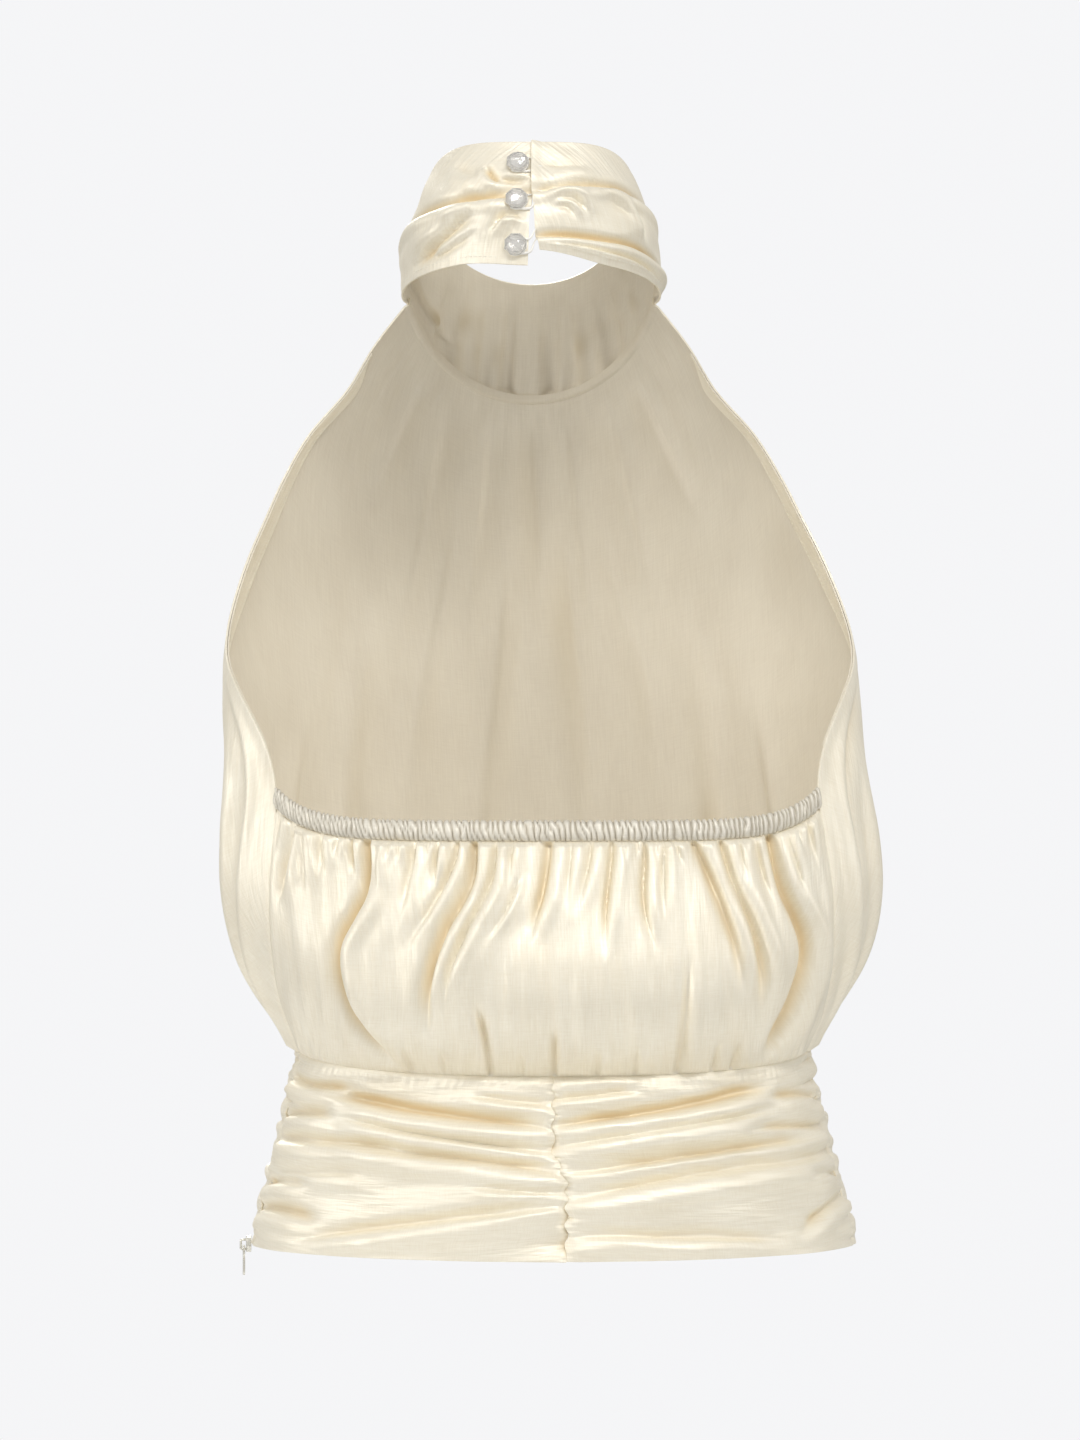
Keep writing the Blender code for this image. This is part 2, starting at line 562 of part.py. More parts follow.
def elastic_casing(collection):
    """The ruched channel: puckers raised on its outer face, over a plain inner face."""
    count = 2 * CASING_PUCKERS
    top, foot = SIDE_SEAM_TOP, SIDE_SEAM_TOP + CASING_HEIGHT
    half = at_height(BODY_ROWS, BODY_COLUMNS, "half_width", top) * MM
    start = at_height(BODY_ROWS, BODY_COLUMNS, "edge", top) + math.degrees(CASING_END_GAP / half)
    angles = np.linspace(start, 360 - start, count + 1)
    upper, lower = body_point(wrapped(angles), top), body_point(wrapped(angles), foot)
    out = level(outward(np.stack([upper, lower])))[0]
    step = np.arange(count + 1)
    fade = smooth_step(np.minimum(step, count - step) / (2 * CASING_END_FADE))
    raised = out * (np.where(step % 2, PUCKER_HEIGHT, 0) * fade)[:, None]
    inner = out * CASING_WALL
    sections = np.stack([upper + raised, lower + raised, lower - inner, upper - inner], axis=1)
    return add_loft("elastic_casing", sections.tolist(), collection, SATIN_EDGE)


def band_out(shares, heights, rows, back):
    """How far the waistband stands out: folds, the ruched side seams and the pinched centre back."""
    out = folds_round(shares, heights, rows)
    out *= smooth_step(shares / SEAM_FADE) * smooth_step((1 - shares) / SEAM_FADE)
    from_side = 1 - shares if back else np.minimum(shares, 1 - shares) * 2
    scallop = np.abs(np.sin(BAND_PUFFS * math.pi * heights)) ** PUFF_ROUNDNESS - PUFF_MIDDLE
    out += BAND_PUFF_DEPTH * scallop * np.exp(-((from_side / BAND_PUFF_REACH) ** 2))
    if back:
        pucker = np.abs(np.sin(BACK_PUCKERS * math.pi * heights)) - PUCKER_MIDDLE
        out += BACK_PUCKER_DEPTH * pucker * np.exp(-((shares / BACK_PUCKER_REACH) ** 2))
    at_hem = BAND_HEM_SHARE + (1 - BAND_HEM_SHARE) * smooth_step((1 - heights) / BAND_HEM_FADE)
    return out * smooth_step(heights / BAND_TOP_FADE) * at_hem


def band_points(side, shares, heights, rows):
    """A waistband piece's outer face. side 1 or -1 is a back half from the centre back, 0 the front."""
    downs = WAIST_SEAM + SEAM_GAP / 2 + heights * (HEM - WAIST_SEAM - SEAM_GAP / 2)
    seam = at_height(BAND_ROWS, BAND_COLUMNS, "seam", downs)
    half = at_height(BAND_ROWS, BAND_COLUMNS, "half_width", downs) * MM
    back_gap = np.degrees(SEAM_GAP / 2 / half)
    side_gap = np.degrees(SIDE_SEAM_GAP / 2 / half)
    if side:
        first, last = side * (180 - back_gap), side * (seam + side_gap)
    else:
        first, last = side_gap - seam, seam - side_gap
    angles = first[:, None] + (last - first)[:, None] * shares[None, :]
    out = band_out(shares[None, :], heights[:, None], rows, bool(side))
    if side > 0:
        angles, out = angles[:, ::-1], out[:, ::-1]
    points = band_point(angles, downs[:, None])
    return points + level(outward(points)) * out[..., None]


def waistband(collection):
    heights = np.linspace(0, 1, BAND_BACK_CELLS[1] + 1)
    across = crowded(BAND_BACK_CELLS[0], BAND_CROWDING)
    for name, side, rows in (
        ("waistband_back_left", 1, BAND_LEFT_FOLDS),
        ("waistband_back_right", -1, BAND_RIGHT_FOLDS),
    ):
        add_sheet(name, band_points(side, across, heights, rows), CLOTH, collection)
    across = crowded(BAND_FRONT_CELLS[0], BAND_CROWDING)
    add_sheet("waistband_front", band_points(0, across, heights, BAND_FRONT_FOLDS), CLOTH, collection)


def collar_points(turns, ups):
    """The collar's outer face, rows from its top edge down."""
    points = collar_point(turns[None, :], ups[:, None])
    out = np.zeros(points.shape[:2])
    for whole_turns in (-360, 0, 360):
        out += folds_round(turns[None, :] + whole_turns, ups[:, None], COLLAR_FOLDS)
    edges = smooth_step(ups / COLLAR_EDGE_FADE) * smooth_step((1 - ups) / COLLAR_EDGE_FADE)
    return points + outward(points) * (out * edges[:, None])[..., None]


def slit_turn():
    """Half the angle of the slit at the centre back."""
    return math.degrees(COLLAR_OPENING / 2 / COLLAR_TOP[0])


def collar(collection):
    turns = np.linspace(360 - slit_turn(), slit_turn(), COLLAR_CELLS[0] + 1)
    ups = np.linspace(1, COLLAR_SEAM_GAP / 2 / COLLAR_HEIGHT, COLLAR_CELLS[1] + 1)
    return add_sheet("collar", collar_points(turns, ups), CLOTH, collection)


# ---------------------------------------------------------------- fastenings


def collar_frame(across, up):
    """A point on the collar's outer face near the slit, with its outward normal and upward direction."""
    step = 0.5
    turn = math.degrees(across / COLLAR_TOP[0])
    grid = collar_points(np.array([turn + step, turn, turn - step]), np.array([up + 0.02, up, up - 0.02]))
    normal = outward(grid)[1, 1]
    rise = grid[0, 1] - grid[2, 1]
    return grid[1, 1], normal, rise / np.linalg.norm(rise)


def button(name, place, collection):
    """A turned profile with few sides, so that it comes out faceted."""
    mesh = bpy.data.meshes.new(name)
    profile = [(radius * MM, 0.0, height * MM) for radius, height in BUTTON_PROFILE]
    mesh.from_pydata(profile, [(i, i + 1) for i in range(len(profile) - 1)], [])
    obj = add_object(name, mesh, collection, CRYSTAL)
    turned = obj.modifiers.new("turned", "SCREW")
    turned.axis = "Z"
    turned.angle = 2 * math.pi
    turned.steps = turned.render_steps = BUTTON_SIDES
    turned.use_merge_vertices = True
    turned.merge_threshold = 0.01 * MM
    turned.use_smooth_shade = False
    obj.matrix_world = place
    return obj


def loop_route(button_up):
    """A cord loop round a button: its two legs cross the slit and lie on the collar's other end."""
    arc = [math.radians(-90 + 180 * i / LOOP_ARC_STEPS) for i in range(LOOP_ARC_STEPS + 1)]
    bow = [(BUTTON_ACROSS + LOOP_REACH * math.cos(a), LOOP_REACH * math.sin(a)) for a in arc]
    leg = [(-LOOP_ROOT, -LOOP_ROOT_RISE * LOOP_REACH), (0.0, -LOOP_SLIT_RISE * LOOP_REACH)]
    flat = leg + bow + [(across, -rise) for across, rise in reversed(leg)]
    route = []
    for across, rise in flat:
        point, normal, _ = collar_frame(across, button_up + rise / COLLAR_HEIGHT)
        route.append(point + normal * LOOP_LIFT)
    return route


def fastenings(collection):
    for number, up in enumerate(BUTTON_HEIGHTS, start=1):
        point, normal, rise = collar_frame(BUTTON_ACROSS, up)
        place = frame_matrix(normal, rise, point)
        button(f"button_{number}", place, collection)
        add_cord(f"loop_{number}", loop_route(up), LOOP_RADIUS, collection, CORD)


# ---------------------------------------------------------------- zip slider and pull


def zip_frame():
    """The slider's frame: x outwards, y along the cloth, z up, with its origin at the pull's pivot."""
    seat = band_point(ZIP_ANGLE, HEM)
    turn = math.radians(ZIP_ANGLE - 90)
    out = Vector((math.cos(turn), math.sin(turn), 0.0))
    along = Vector((-math.sin(turn), math.cos(turn), 0.0))
    reach = SLIDER_GAP + SLIDER_SIZE[0] + PIVOT_OUT
    origin = Vector((seat[0], seat[1], -PIVOT_DOWN)) + out * reach
    return Matrix.Translation(origin) @ Matrix((out, along, Vector((0, 0, 1)))).transposed().to_4x4()


def as_mesh(obj, collection):
    """The curve as a mesh object with welded caps, so that a Boolean can use it."""
    bpy.context.view_layer.update()
    graph = bpy.context.evaluated_depsgraph_get()
    mesh = bpy.data.meshes.new_from_object(obj.evaluated_get(graph))
    shape = bmesh.new()
    shape.from_mesh(mesh)
    bmesh.ops.remove_doubles(shape, verts=shape.verts, dist=0.001 * MM)
    shape.to_mesh(mesh)
    shape.free()
    copy = bpy.data.objects.new(obj.name + "_mesh", mesh)
    copy.matrix_world = obj.matrix_world.copy()
    collection.objects.link(copy)
    bpy.data.objects.remove(obj)
    copy.hide_render = True
    copy.display_type = "WIRE"
    return copy


def zip_slider(frame, collection, cutters):
    """The slider's tapered body, with the bail that holds the pull joined to it."""
    depth, width, height = SLIDER_SIZE
    face = -PIVOT_OUT
    rise = PIVOT_DOWN - SLIDER_CENTRE_DOWN
    sections = []
    for z, share in ((-height / 2, 0.72), (-height / 5, 1.0), (height / 5, 1.0), (height / 2, 0.66)):
        half = width / 2 * share
        corners = ((face - depth, -half), (face, -half * 0.9), (face, half * 0.9), (face - depth, half))
        sections.append([(x, y, z + rise) for x, y in corners])
    body = add_loft("zip_slider", sections, collection, ZIP_METAL)
    body.matrix_world = frame
    low, high = BAIL_ENDS
    inside = face - 0.8 * MM
    out = face + BAIL_REACH
    round_off = 0.5 * MM
    route = [
        (inside, 0, low),
        (out - round_off, 0, low),
        (out, 0, low + round_off),
        (out, 0, high - round_off),
        (out - round_off, 0, high),
        (inside, 0, high),
    ]
    cord = add_cord("zip_bail", route, BAIL_RADIUS, cutters, ZIP_METAL)
    cord.matrix_world = frame
    bail = as_mesh(cord, cutters)
    join = body.modifiers.new("bail", "BOOLEAN")
    join.operation = "UNION"
    join.solver = "EXACT"
    join.object = bail
    return body


def zip_pull(pivot, collection):
    """A flat tab with a window for the bail, hanging from its bar."""
    curve = bpy.data.curves.new("zip_pull", "CURVE")
    curve.dimensions = "2D"
    curve.fill_mode = "BOTH"
    curve.extrude = PULL_THICKNESS / 2
    foot = PULL_FOOT_WIDTH / 2
    head = PULL_WIDTH / 2
    neck = WINDOW_LENGTH + 1.6 * MM
    outline = (
        (-head, PULL_BAR),
        (head, PULL_BAR),
        (head, -WINDOW_LENGTH),
        (0.6 * foot, -neck),
        (foot, -neck - 2.0 * MM),
        (foot, -PULL_LENGTH + 1.0 * MM),
        (0.6 * foot, -PULL_LENGTH),
        (-0.6 * foot, -PULL_LENGTH),
        (-foot, -PULL_LENGTH + 1.0 * MM),
        (-foot, -neck - 2.0 * MM),
        (-0.6 * foot, -neck),
        (-head, -WINDOW_LENGTH),
    )
    half = WINDOW_HALF_WIDTH
    window = ((-half, -PULL_BAR), (half, -PULL_BAR), (half, -WINDOW_LENGTH), (-half, -WINDOW_LENGTH))
    for line in (outline, window):
        spline = curve.splines.new("POLY")
        spline.points.add(len(line) - 1)
        spline.use_cyclic_u = True
        for point, (x, y) in zip(spline.points, line):
            point.co = (x, y, 0.0, 1.0)
    obj = add_object("zip_pull", curve, collection, ZIP_METAL)
    obj.parent = pivot
    obj.matrix_local = Matrix.Rotation(math.pi / 2, 4, "Z") @ Matrix.Rotation(math.pi / 2, 4, "X")
    return obj


def main():
    for obj in list(bpy.data.objects):
        bpy.data.objects.remove(obj)
    collection = bpy.data.collections.new("halter_neck_top")
    cutters = bpy.data.collections.new("cutters")
    bpy.context.scene.collection.children.link(collection)
    bpy.context.scene.collection.children.link(cutters)
    collar(collection)
    front_panel(collection)
    armhole_facing("armhole_facing_left", 1, collection)
    armhole_facing("armhole_facing_right", -1, collection)
    back_panel(collection)
    elastic_casing(collection)
    waistband(collection)
    fastenings(collection)
    frame = zip_frame()
    zip_slider(frame, collection, cutters)
    pivot = bpy.data.objects.new("zip_pull_pivot", None)
    pivot.empty_display_size = 5 * MM
    pivot.matrix_world = frame
    collection.objects.link(pivot)
    zip_pull(pivot, collection)


main()
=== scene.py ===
# %% [markdown]
# # A satin halter neck top, dressed piece by piece
# The solid model underneath has each sewn piece at its real size. This lesson lays finer cloth over
# those solids: every panel is a grid of points worked out from a few measurements, with its creases
# added by formulas, a wall from Solidify, and a satin that is made of nodes alone. The first code
# cell loads the solid model, which stays where it is from here on.

# %% Load the solid model
import json
import math

import bmesh
import bpy
import numpy as np
from mathutils import Matrix, Vector


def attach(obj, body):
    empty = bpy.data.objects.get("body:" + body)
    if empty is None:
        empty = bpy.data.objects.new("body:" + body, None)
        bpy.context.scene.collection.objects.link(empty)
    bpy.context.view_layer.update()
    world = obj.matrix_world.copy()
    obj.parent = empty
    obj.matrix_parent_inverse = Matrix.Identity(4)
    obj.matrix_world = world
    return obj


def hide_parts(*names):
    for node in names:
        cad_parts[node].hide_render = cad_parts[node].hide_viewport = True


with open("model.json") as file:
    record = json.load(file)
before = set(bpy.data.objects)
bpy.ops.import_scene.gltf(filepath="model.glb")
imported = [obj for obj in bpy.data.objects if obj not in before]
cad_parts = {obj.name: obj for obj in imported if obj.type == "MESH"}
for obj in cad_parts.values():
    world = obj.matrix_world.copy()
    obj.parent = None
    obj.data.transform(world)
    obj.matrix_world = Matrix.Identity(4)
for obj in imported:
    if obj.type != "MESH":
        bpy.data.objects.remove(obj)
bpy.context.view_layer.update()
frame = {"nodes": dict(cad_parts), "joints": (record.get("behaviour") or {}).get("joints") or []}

MM = 0.001
DETAIL = 1.0
print("pieces in the solid model:", len(frame["nodes"]))

# %% [markdown]
# ## Small helpers
# Materials and geometry trees are both built from nodes, so a few short functions add a node, set its
# inputs and link it. A value that is a socket becomes a link and any other value is set directly.

# %% Small helpers for objects and node trees
def new_object(name, data):
    """An object in the scene that shows this data."""
    item = bpy.data.objects.new(name, data)
    bpy.context.scene.collection.objects.link(item)
    return item


def feed(tree, node, *ordered, **named):
    """Gives a node's inputs, in order or by name, a value or a link from a socket; None is left out."""
    by_name = [(node.inputs[key.replace("_", " ")], value) for key, value in named.items()]
    for socket, value in [*zip(node.inputs, ordered), *by_name]:
        if isinstance(value, bpy.types.NodeSocket):
            tree.links.new(value, socket)
        elif value is not None:
            socket.default_value = (*value, 1) if socket.type == "RGBA" else value


def add_node(tree, kind, *ordered, settings=None, **named):
    """A node with its settings and its inputs."""
    node = tree.nodes.new(kind)
    for key, value in (settings or {}).items():
        setattr(node, key, value)
    feed(tree, node, *ordered, **named)
    return node


def ranged(tree, value, low, high, to_low=0.0, to_high=1.0):
    """A value carried from one range to another."""
    return add_node(tree, "ShaderNodeMapRange", value, low, high, to_low, to_high).outputs[0]


MIX_SOCKETS = {"FLOAT": (1, 0), "RGBA": (5, 2)}  # inputs between the share and A, and the output


def mixed(tree, kind, share, first, second):
    """first * (1 - share) + second * share, for two numbers or two colours."""
    gap, out = MIX_SOCKETS[kind]
    others = [None] * gap
    node = add_node(tree, "ShaderNodeMix", share, *others, first, second, settings={"data_type": kind})
    return node.outputs[out]


def new_material(name, **inputs):
    """A Principled material with these inputs; its tree and its shader come with it."""
    material = bpy.data.materials.new(name)
    material.use_nodes = True
    tree = material.node_tree
    shader = tree.nodes["Principled BSDF"]
    feed(tree, shader, **inputs)
    return material, tree, shader


def plain_material(name, colour, roughness, **more):
    return new_material(name, Base_Color=colour, Roughness=roughness, **more)[0]


print("helpers for nodes of", len(MIX_SOCKETS), "kinds of value")

# %% [markdown]
# ## The camera
# A long lens from a few metres away flattens a garment the way a shop picture does. The lens is given
# in millimetres for Blender's 36 mm sensor, whose width goes with the longer side of the picture, so
# it can be worked out from how many pixels a metre at one metre's distance fills.

# %% Camera
PICTURE_HEIGHT = 1440
FOCAL_PIXELS = 5740
SENSOR = 36.0
CAMERA_PLACE = (-0.0043, 2.80, -0.22)

scene = bpy.context.scene
camera_data = bpy.data.cameras.new("camera")
camera_data.sensor_width = SENSOR
camera_data.lens = FOCAL_PIXELS / PICTURE_HEIGHT * SENSOR
camera = new_object("camera", camera_data)
camera.location = CAMERA_PLACE
camera.rotation_euler = (math.radians(90), 0, math.radians(180))
scene.camera = camera
print("lens", round(camera_data.lens, 1), "mm")

# %% [markdown]
# ## Light and floor
# Satin shows its folds through soft, wide highlights, so the light comes from a few large area lamps:
# one high on the camera's side, one from each side, and one from the garment's front. The world is a
# pale gradient, brighter above than below, and the camera sees an even backdrop in its place. The
# floor is a plain pale disc well below the hem, since this garment is held up by its wearer.

# %% World, lamps and floor
SKY_TOP, SKY_LOW, SKY_STRENGTH = (1.0, 1.0, 1.0), (0.50, 0.485, 0.455), 0.54
BACKDROP, BACKDROP_STRENGTH = (0.963, 0.965, 0.978), 0.95
FLOOR_DOWN, FLOOR_RADIUS, FLOOR_COLOUR = 0.80, 1.0, (0.86, 0.86, 0.85)
LOOK_AT = (0, 0, -0.22)
LAMPS = (  # name, place, width, height, power in watts, colour
    ("high_lamp", (-0.50, 1.9, 1.45), 1.2, 0.5, 28, (1.0, 0.99, 0.975)),
    ("left_lamp", (1.9, 1.0, 0.2), 0.4, 1.2, 14, (1.0, 0.99, 0.97)),
    ("right_lamp", (-1.9, 1.1, 0.3), 0.4, 1.4, 7, (1.0, 0.99, 0.97)),
    ("front_lamp", (0.6, -2.0, 1.2), 0.9, 0.6, 32, (1.0, 0.99, 0.97)),
)

scene.view_settings.view_transform = "Standard"
scene.world = bpy.data.worlds.new("studio")
scene.world.use_nodes = True
sky = scene.world.node_tree
sky.nodes.clear()
direction = add_node(sky, "ShaderNodeTexCoord").outputs["Generated"]
level_up = add_node(sky, "ShaderNodeSeparateXYZ", direction).outputs["Z"]
shade = mixed(sky, "RGBA", ranged(sky, level_up, -0.7, 0.5), SKY_LOW, SKY_TOP)
glow = add_node(sky, "ShaderNodeBackground", shade, SKY_STRENGTH)
backdrop = add_node(sky, "ShaderNodeBackground", BACKDROP, BACKDROP_STRENGTH)
to_camera = add_node(sky, "ShaderNodeLightPath").outputs["Is Camera Ray"]
seen = add_node(sky, "ShaderNodeMixShader", to_camera, glow.outputs[0], backdrop.outputs[0])
add_node(sky, "ShaderNodeOutputWorld", seen.outputs[0])

for name, place, width, height, power, colour in LAMPS:
    lamp_data = bpy.data.lights.new(name, "AREA")
    lamp_data.shape = "RECTANGLE"
    lamp_data.size, lamp_data.size_y = width, height
    lamp_data.energy = power
    lamp_data.color = colour
    lamp = new_object(name, lamp_data)
    lamp.location = place
    lamp.rotation_euler = (Vector(LOOK_AT) - Vector(place)).to_track_quat("-Z", "Y").to_euler()

disc = bmesh.new()
bmesh.ops.create_circle(disc, cap_ends=True, segments=96, radius=FLOOR_RADIUS)
bmesh.ops.translate(disc, verts=disc.verts, vec=(0, 0, -FLOOR_DOWN))
floor_mesh = bpy.data.meshes.new("floor")
disc.to_mesh(floor_mesh)
disc.free()
floor_mesh.materials.append(plain_material("floor_paper", FLOOR_COLOUR, 0.8))
new_object("floor", floor_mesh)
print("lamps:", len(LAMPS), " floor disc", FLOOR_RADIUS, "m")

# %% [markdown]
# ## Satin
# Satin's long surface threads lie side by side, so light slides along them: highlights smear across
# the threads and fine slubs show as streaks. The material reads each panel's own UV map, which holds
# real distances along the cloth in metres, so a streak is as long on the collar as on the waistband.
# Two stretched noises are the slubs of warp and weft, and a pair of waves is the weave. A vertex
# attribute is near 1 deep inside a crease, and there the base colour turns a warm gold: painted shade,
# standing in for the light that cream cloth bounces into its own creases.

# %% Cloth material
FACE_GLOSS = (0.38, 0.60, 0.15, 0.65, 0.30, 0.5)  # roughness from and to, sheen, specular, metal, streak
BACK_GLOSS = (0.50, 0.66, 0.15, 0.30, 0.0, 0.0)
# The third colour of each cloth is painted shade: deep inside a crease the base colour turns to it.
FACE_COLOURS = ((0.850, 0.780, 0.630), (0.945, 0.895, 0.765), (0.82, 0.69, 0.47))  # darker tone, lighter tone, painted crease shade
# The wrong side is duller than the face, and its darker tan is partly its own colour and partly painted
# shade for the inside of the garment.
BACK_COLOURS = ((0.730, 0.665, 0.545), (0.805, 0.745, 0.620), (0.62, 0.53, 0.37))
# The casing's satin is a darker, greyer copy of the face colours: painted shade.
RUCHED_COLOURS = ((0.680, 0.640, 0.550), (0.810, 0.770, 0.675), (0.44, 0.39, 0.30))
CLOTHS = (  # name, colours, gloss, depth of the slubs and of the crumples in mm
    ("ivory_satin", FACE_COLOURS, FACE_GLOSS, 0.13, 0.55),
    ("satin_wrong_side", BACK_COLOURS, BACK_GLOSS, 0.05, 0.24),
    ("shaded_ruched_satin", RUCHED_COLOURS, FACE_GLOSS, 0.05, 0.20),
)
SHEEN_TINT = (1.0, 0.96, 0.86)
WAVE_LENGTH = 0.314  # metres, in a Wave texture whose scale is 1


def stretched_noise(tree, uv, across, down, detail=2.0):
    """Noise whose grains are about across by down millimetres on the cloth."""
    size = (across * MM, down * MM, 1)
    sized = add_node(tree, "ShaderNodeVectorMath", uv, size, settings={"operation": "DIVIDE"})
    noise = add_node(
        tree, "ShaderNodeTexNoise", Vector=sized.outputs[0], Scale=1.0, Detail=detail, Roughness=0.55
    )
    return noise.outputs["Fac"]


def thread_wave(tree, uv, axis, pitch):
    """A wave across the threads of one direction, one thread each pitch in millimetres."""
    wave = add_node(
        tree, "ShaderNodeTexWave", Vector=uv, Scale=WAVE_LENGTH / (pitch * MM), Distortion=1.2,
        Detail=1.0, settings={"bands_direction": axis}
    )
    return wave.outputs["Fac"]


def bumped(tree, height, distance, strength, before=None):
    """A bump, over the one before it."""
    values = {"Height": height, "Distance": distance * MM, "Strength": strength, "Normal": before}
    return add_node(tree, "ShaderNodeBump", **values).outputs[0]


def cloth_material(name, colours, gloss, slub_depth, crumple_depth):
    """Satin that reads the UV map cloth, and an attribute that marks where it paints shade deep in creases.
    """
    darker_tone, lighter_tone, crease_shade_colour = colours
    material, tree, shader = new_material(name)
    uv = add_node(tree, "ShaderNodeUVMap", settings={"uv_map": "cloth"}).outputs[0]
    slubs = mixed(tree, "FLOAT", 0.42, stretched_noise(tree, uv, 0.7, 16), stretched_noise(tree, uv, 9, 0.6))
    weave = mixed(tree, "FLOAT", 0.5, thread_wave(tree, uv, "X", 0.42), thread_wave(tree, uv, "Y", 0.46))
    tone = mixed(tree, "FLOAT", 0.3, slubs, stretched_noise(tree, uv, 22, 40, 1.0))
    # Painted shade: the attribute read here mixes the crease colour into the base colour deep inside
    # creases.
    crease_shade = add_node(tree, "ShaderNodeAttribute", settings={"attribute_name": "crease_shade"}).outputs["Fac"]
    cloth = mixed(tree, "RGBA", ranged(tree, tone, 0.34, 0.66), darker_tone, lighter_tone)
    threads = bumped(tree, weave, 0.05, 0.5)
    streaks = bumped(tree, slubs, slub_depth, 0.8, threads)
    low, high, sheen, specular, metal, streak = gloss
    feed(
        tree, shader,
        Base_Color=mixed(tree, "RGBA", crease_shade, cloth, crease_shade_colour),
        Roughness=ranged(tree, slubs, 0.3, 0.7, high, low),
        Normal=bumped(tree, stretched_noise(tree, uv, 2.6, 22), crumple_depth, 0.8, streaks),
        Specular_IOR_Level=specular, Metallic=metal, Anisotropic=streak,
        Sheen_Weight=sheen, Sheen_Roughness=0.4, Sheen_Tint=SHEEN_TINT,
    )
    return material


satin, satin_back, shaded_ruched_satin = [cloth_material(*row) for row in CLOTHS]
print("cloth materials:", [row[0] for row in CLOTHS])

# %% [markdown]
# ## The form of the body
# A worn garment is a tube with changing sections. Each row of the table is one level section: how far
# down it lies, its half width, how far it reaches to the front and back, and where the panel's edge
# is. A smooth curve through each column gives any height between, and two half ellipses that share
# their widest line make the section. It is the same form as the solid model's, only sampled finer.

# %% Tables of sections (millimetres and degrees)
BODY_COLUMNS = ("down", "front_drop", "back_drop", "flat", "half_width", "edge", "front", "mid", "back")
BODY_ROWS = (
    (15.6, 45, 15.5, 6.0, 63.5, 77, -78.0, -7.0, 88.0),
    (35.0, 41, 15.5, 6.0, 80.6, 75, -84.0, -17.9, 88.0),
    (56.0, 36, 15.5, 6.0, 95.3, 74, -91.5, -31.3, 88.0),
    (78.0, 30, 15.5, 6.0, 115.2, 75, -99.5, -39.3, 88.0),
    (98.0, 25, 15.5, 6.0, 126.7, 77, -107.0, -41.2, 88.0),
    (120.0, 20, 15.5, 6.0, 136.1, 80, -114.0, -39.0, 88.0),
    (140.0, 15, 15.5, 6.0, 144.1, 83, -119.0, -34.7, 88.0),
    (160.6, 11, 15.5, 6.0, 150.2, 87, -123.0, -27.0, 88.0),
    (185.0, 7, 15.5, 6.0, 154.5, 96, -126.0, -13.0, 88.0),
    (207.0, 4, 15.5, 6.0, 155.6, 110, -127.5, -2.0, 88.0),
    (230.0, 2, 15.5, 6.0, 156.0, 120, -128.0, 0.0, 88.0),
    (252.7, 0, 15.5, 6.0, 157.0, 124, -127.5, 0.0, 87.0),
    (275.0, 0, 15.0, 5.5, 158.0, 123, -126.0, 0.0, 93.5),
    (300.0, 0, 14.0, 5.0, 158.0, 121, -123.0, 0.0, 102.5),
    (325.0, 0, 12.5, 4.0, 153.5, 118, -119.0, 0.0, 109.0),
    (345.0, 0, 11.0, 3.5, 146.5, 114, -114.0, 0.0, 109.5),
    (360.0, 0, 9.5, 3.0, 139.0, 110, -108.0, 0.0, 105.0),
    (372.0, 0, 8.5, 2.7, 131.5, 106, -100.5, 0.0, 96.5),
    (381.0, 0, 7.6, 2.5, 126.5, 102, -93.5, 0.0, 87.0),
)
BAND_COLUMNS = ("down", "back_drop", "half_width", "edge", "front", "back")
BAND_ROWS = (
    (381.0, 7.6, 126.5, 102, -93.5, 87.0),
    (390.0, 6.5, 128.0, 101, -94.5, 88.5),
    (410.0, 4.0, 131.5, 100, -96.5, 91.5),
    (432.0, 2.0, 137.5, 99, -99.5, 95.5),
    (455.0, 0.5, 143.0, 98, -102.5, 100.0),
    (474.6, 0.0, 147.5, 97, -105.0, 104.0),
)
SIDE_SEAM_TOP = 252.7 * MM
WAIST_SEAM = 381 * MM
HEM = 474.6 * MM
CASING_HEIGHT = 9.2 * MM
LEAN = -10.5 * MM  # the hips stand a little to the wearer's right
LEAN_TOP, LEAN_FOOT = 50 * MM, 360 * MM
BODY = dict(zip(BODY_COLUMNS, zip(*BODY_ROWS)))
BAND = dict(zip(BAND_COLUMNS, zip(*BAND_ROWS)))
for column, value in (("front_drop", 0), ("flat", 2.5), ("mid", 0)):
    BAND[column] = [value] * len(BAND_ROWS)
print("body sections:", len(BODY_ROWS), " waistband sections:", len(BAND_ROWS))


# %% Curves through the tables, and points on the body
def smooth_curve(at, knots, values):
    """Cubic between the knots, with averaged slopes."""
    knots, values = np.asarray(knots, float), np.asarray(values, float)
    slopes = np.gradient(values, knots)
    i = np.clip(np.searchsorted(knots, at, side="right") - 1, 0, len(knots) - 2)
    step = knots[i + 1] - knots[i]
    t = np.clip((at - knots[i]) / step, 0, 1)
    bends = slopes[i] * (1 - t) - slopes[i + 1] * t
    ends = values[i] * (1 + 2 * t) * (1 - t) ** 2 + values[i + 1] * t**2 * (3 - 2 * t)
    return ends + bends * step * t * (1 - t)


def at_height(form, name, down):
    return smooth_curve(down / MM, form["down"], form[name])


def smooth_step(t):
    t = np.clip(t, 0, 1)
    return t * t * (3 - 2 * t)


def dip_share(share):
    """How much of its dip a front section has, from its middle (0) to its edge (1)."""
    return (1 - np.clip(share, 0, 1) ** 2) ** 1.2


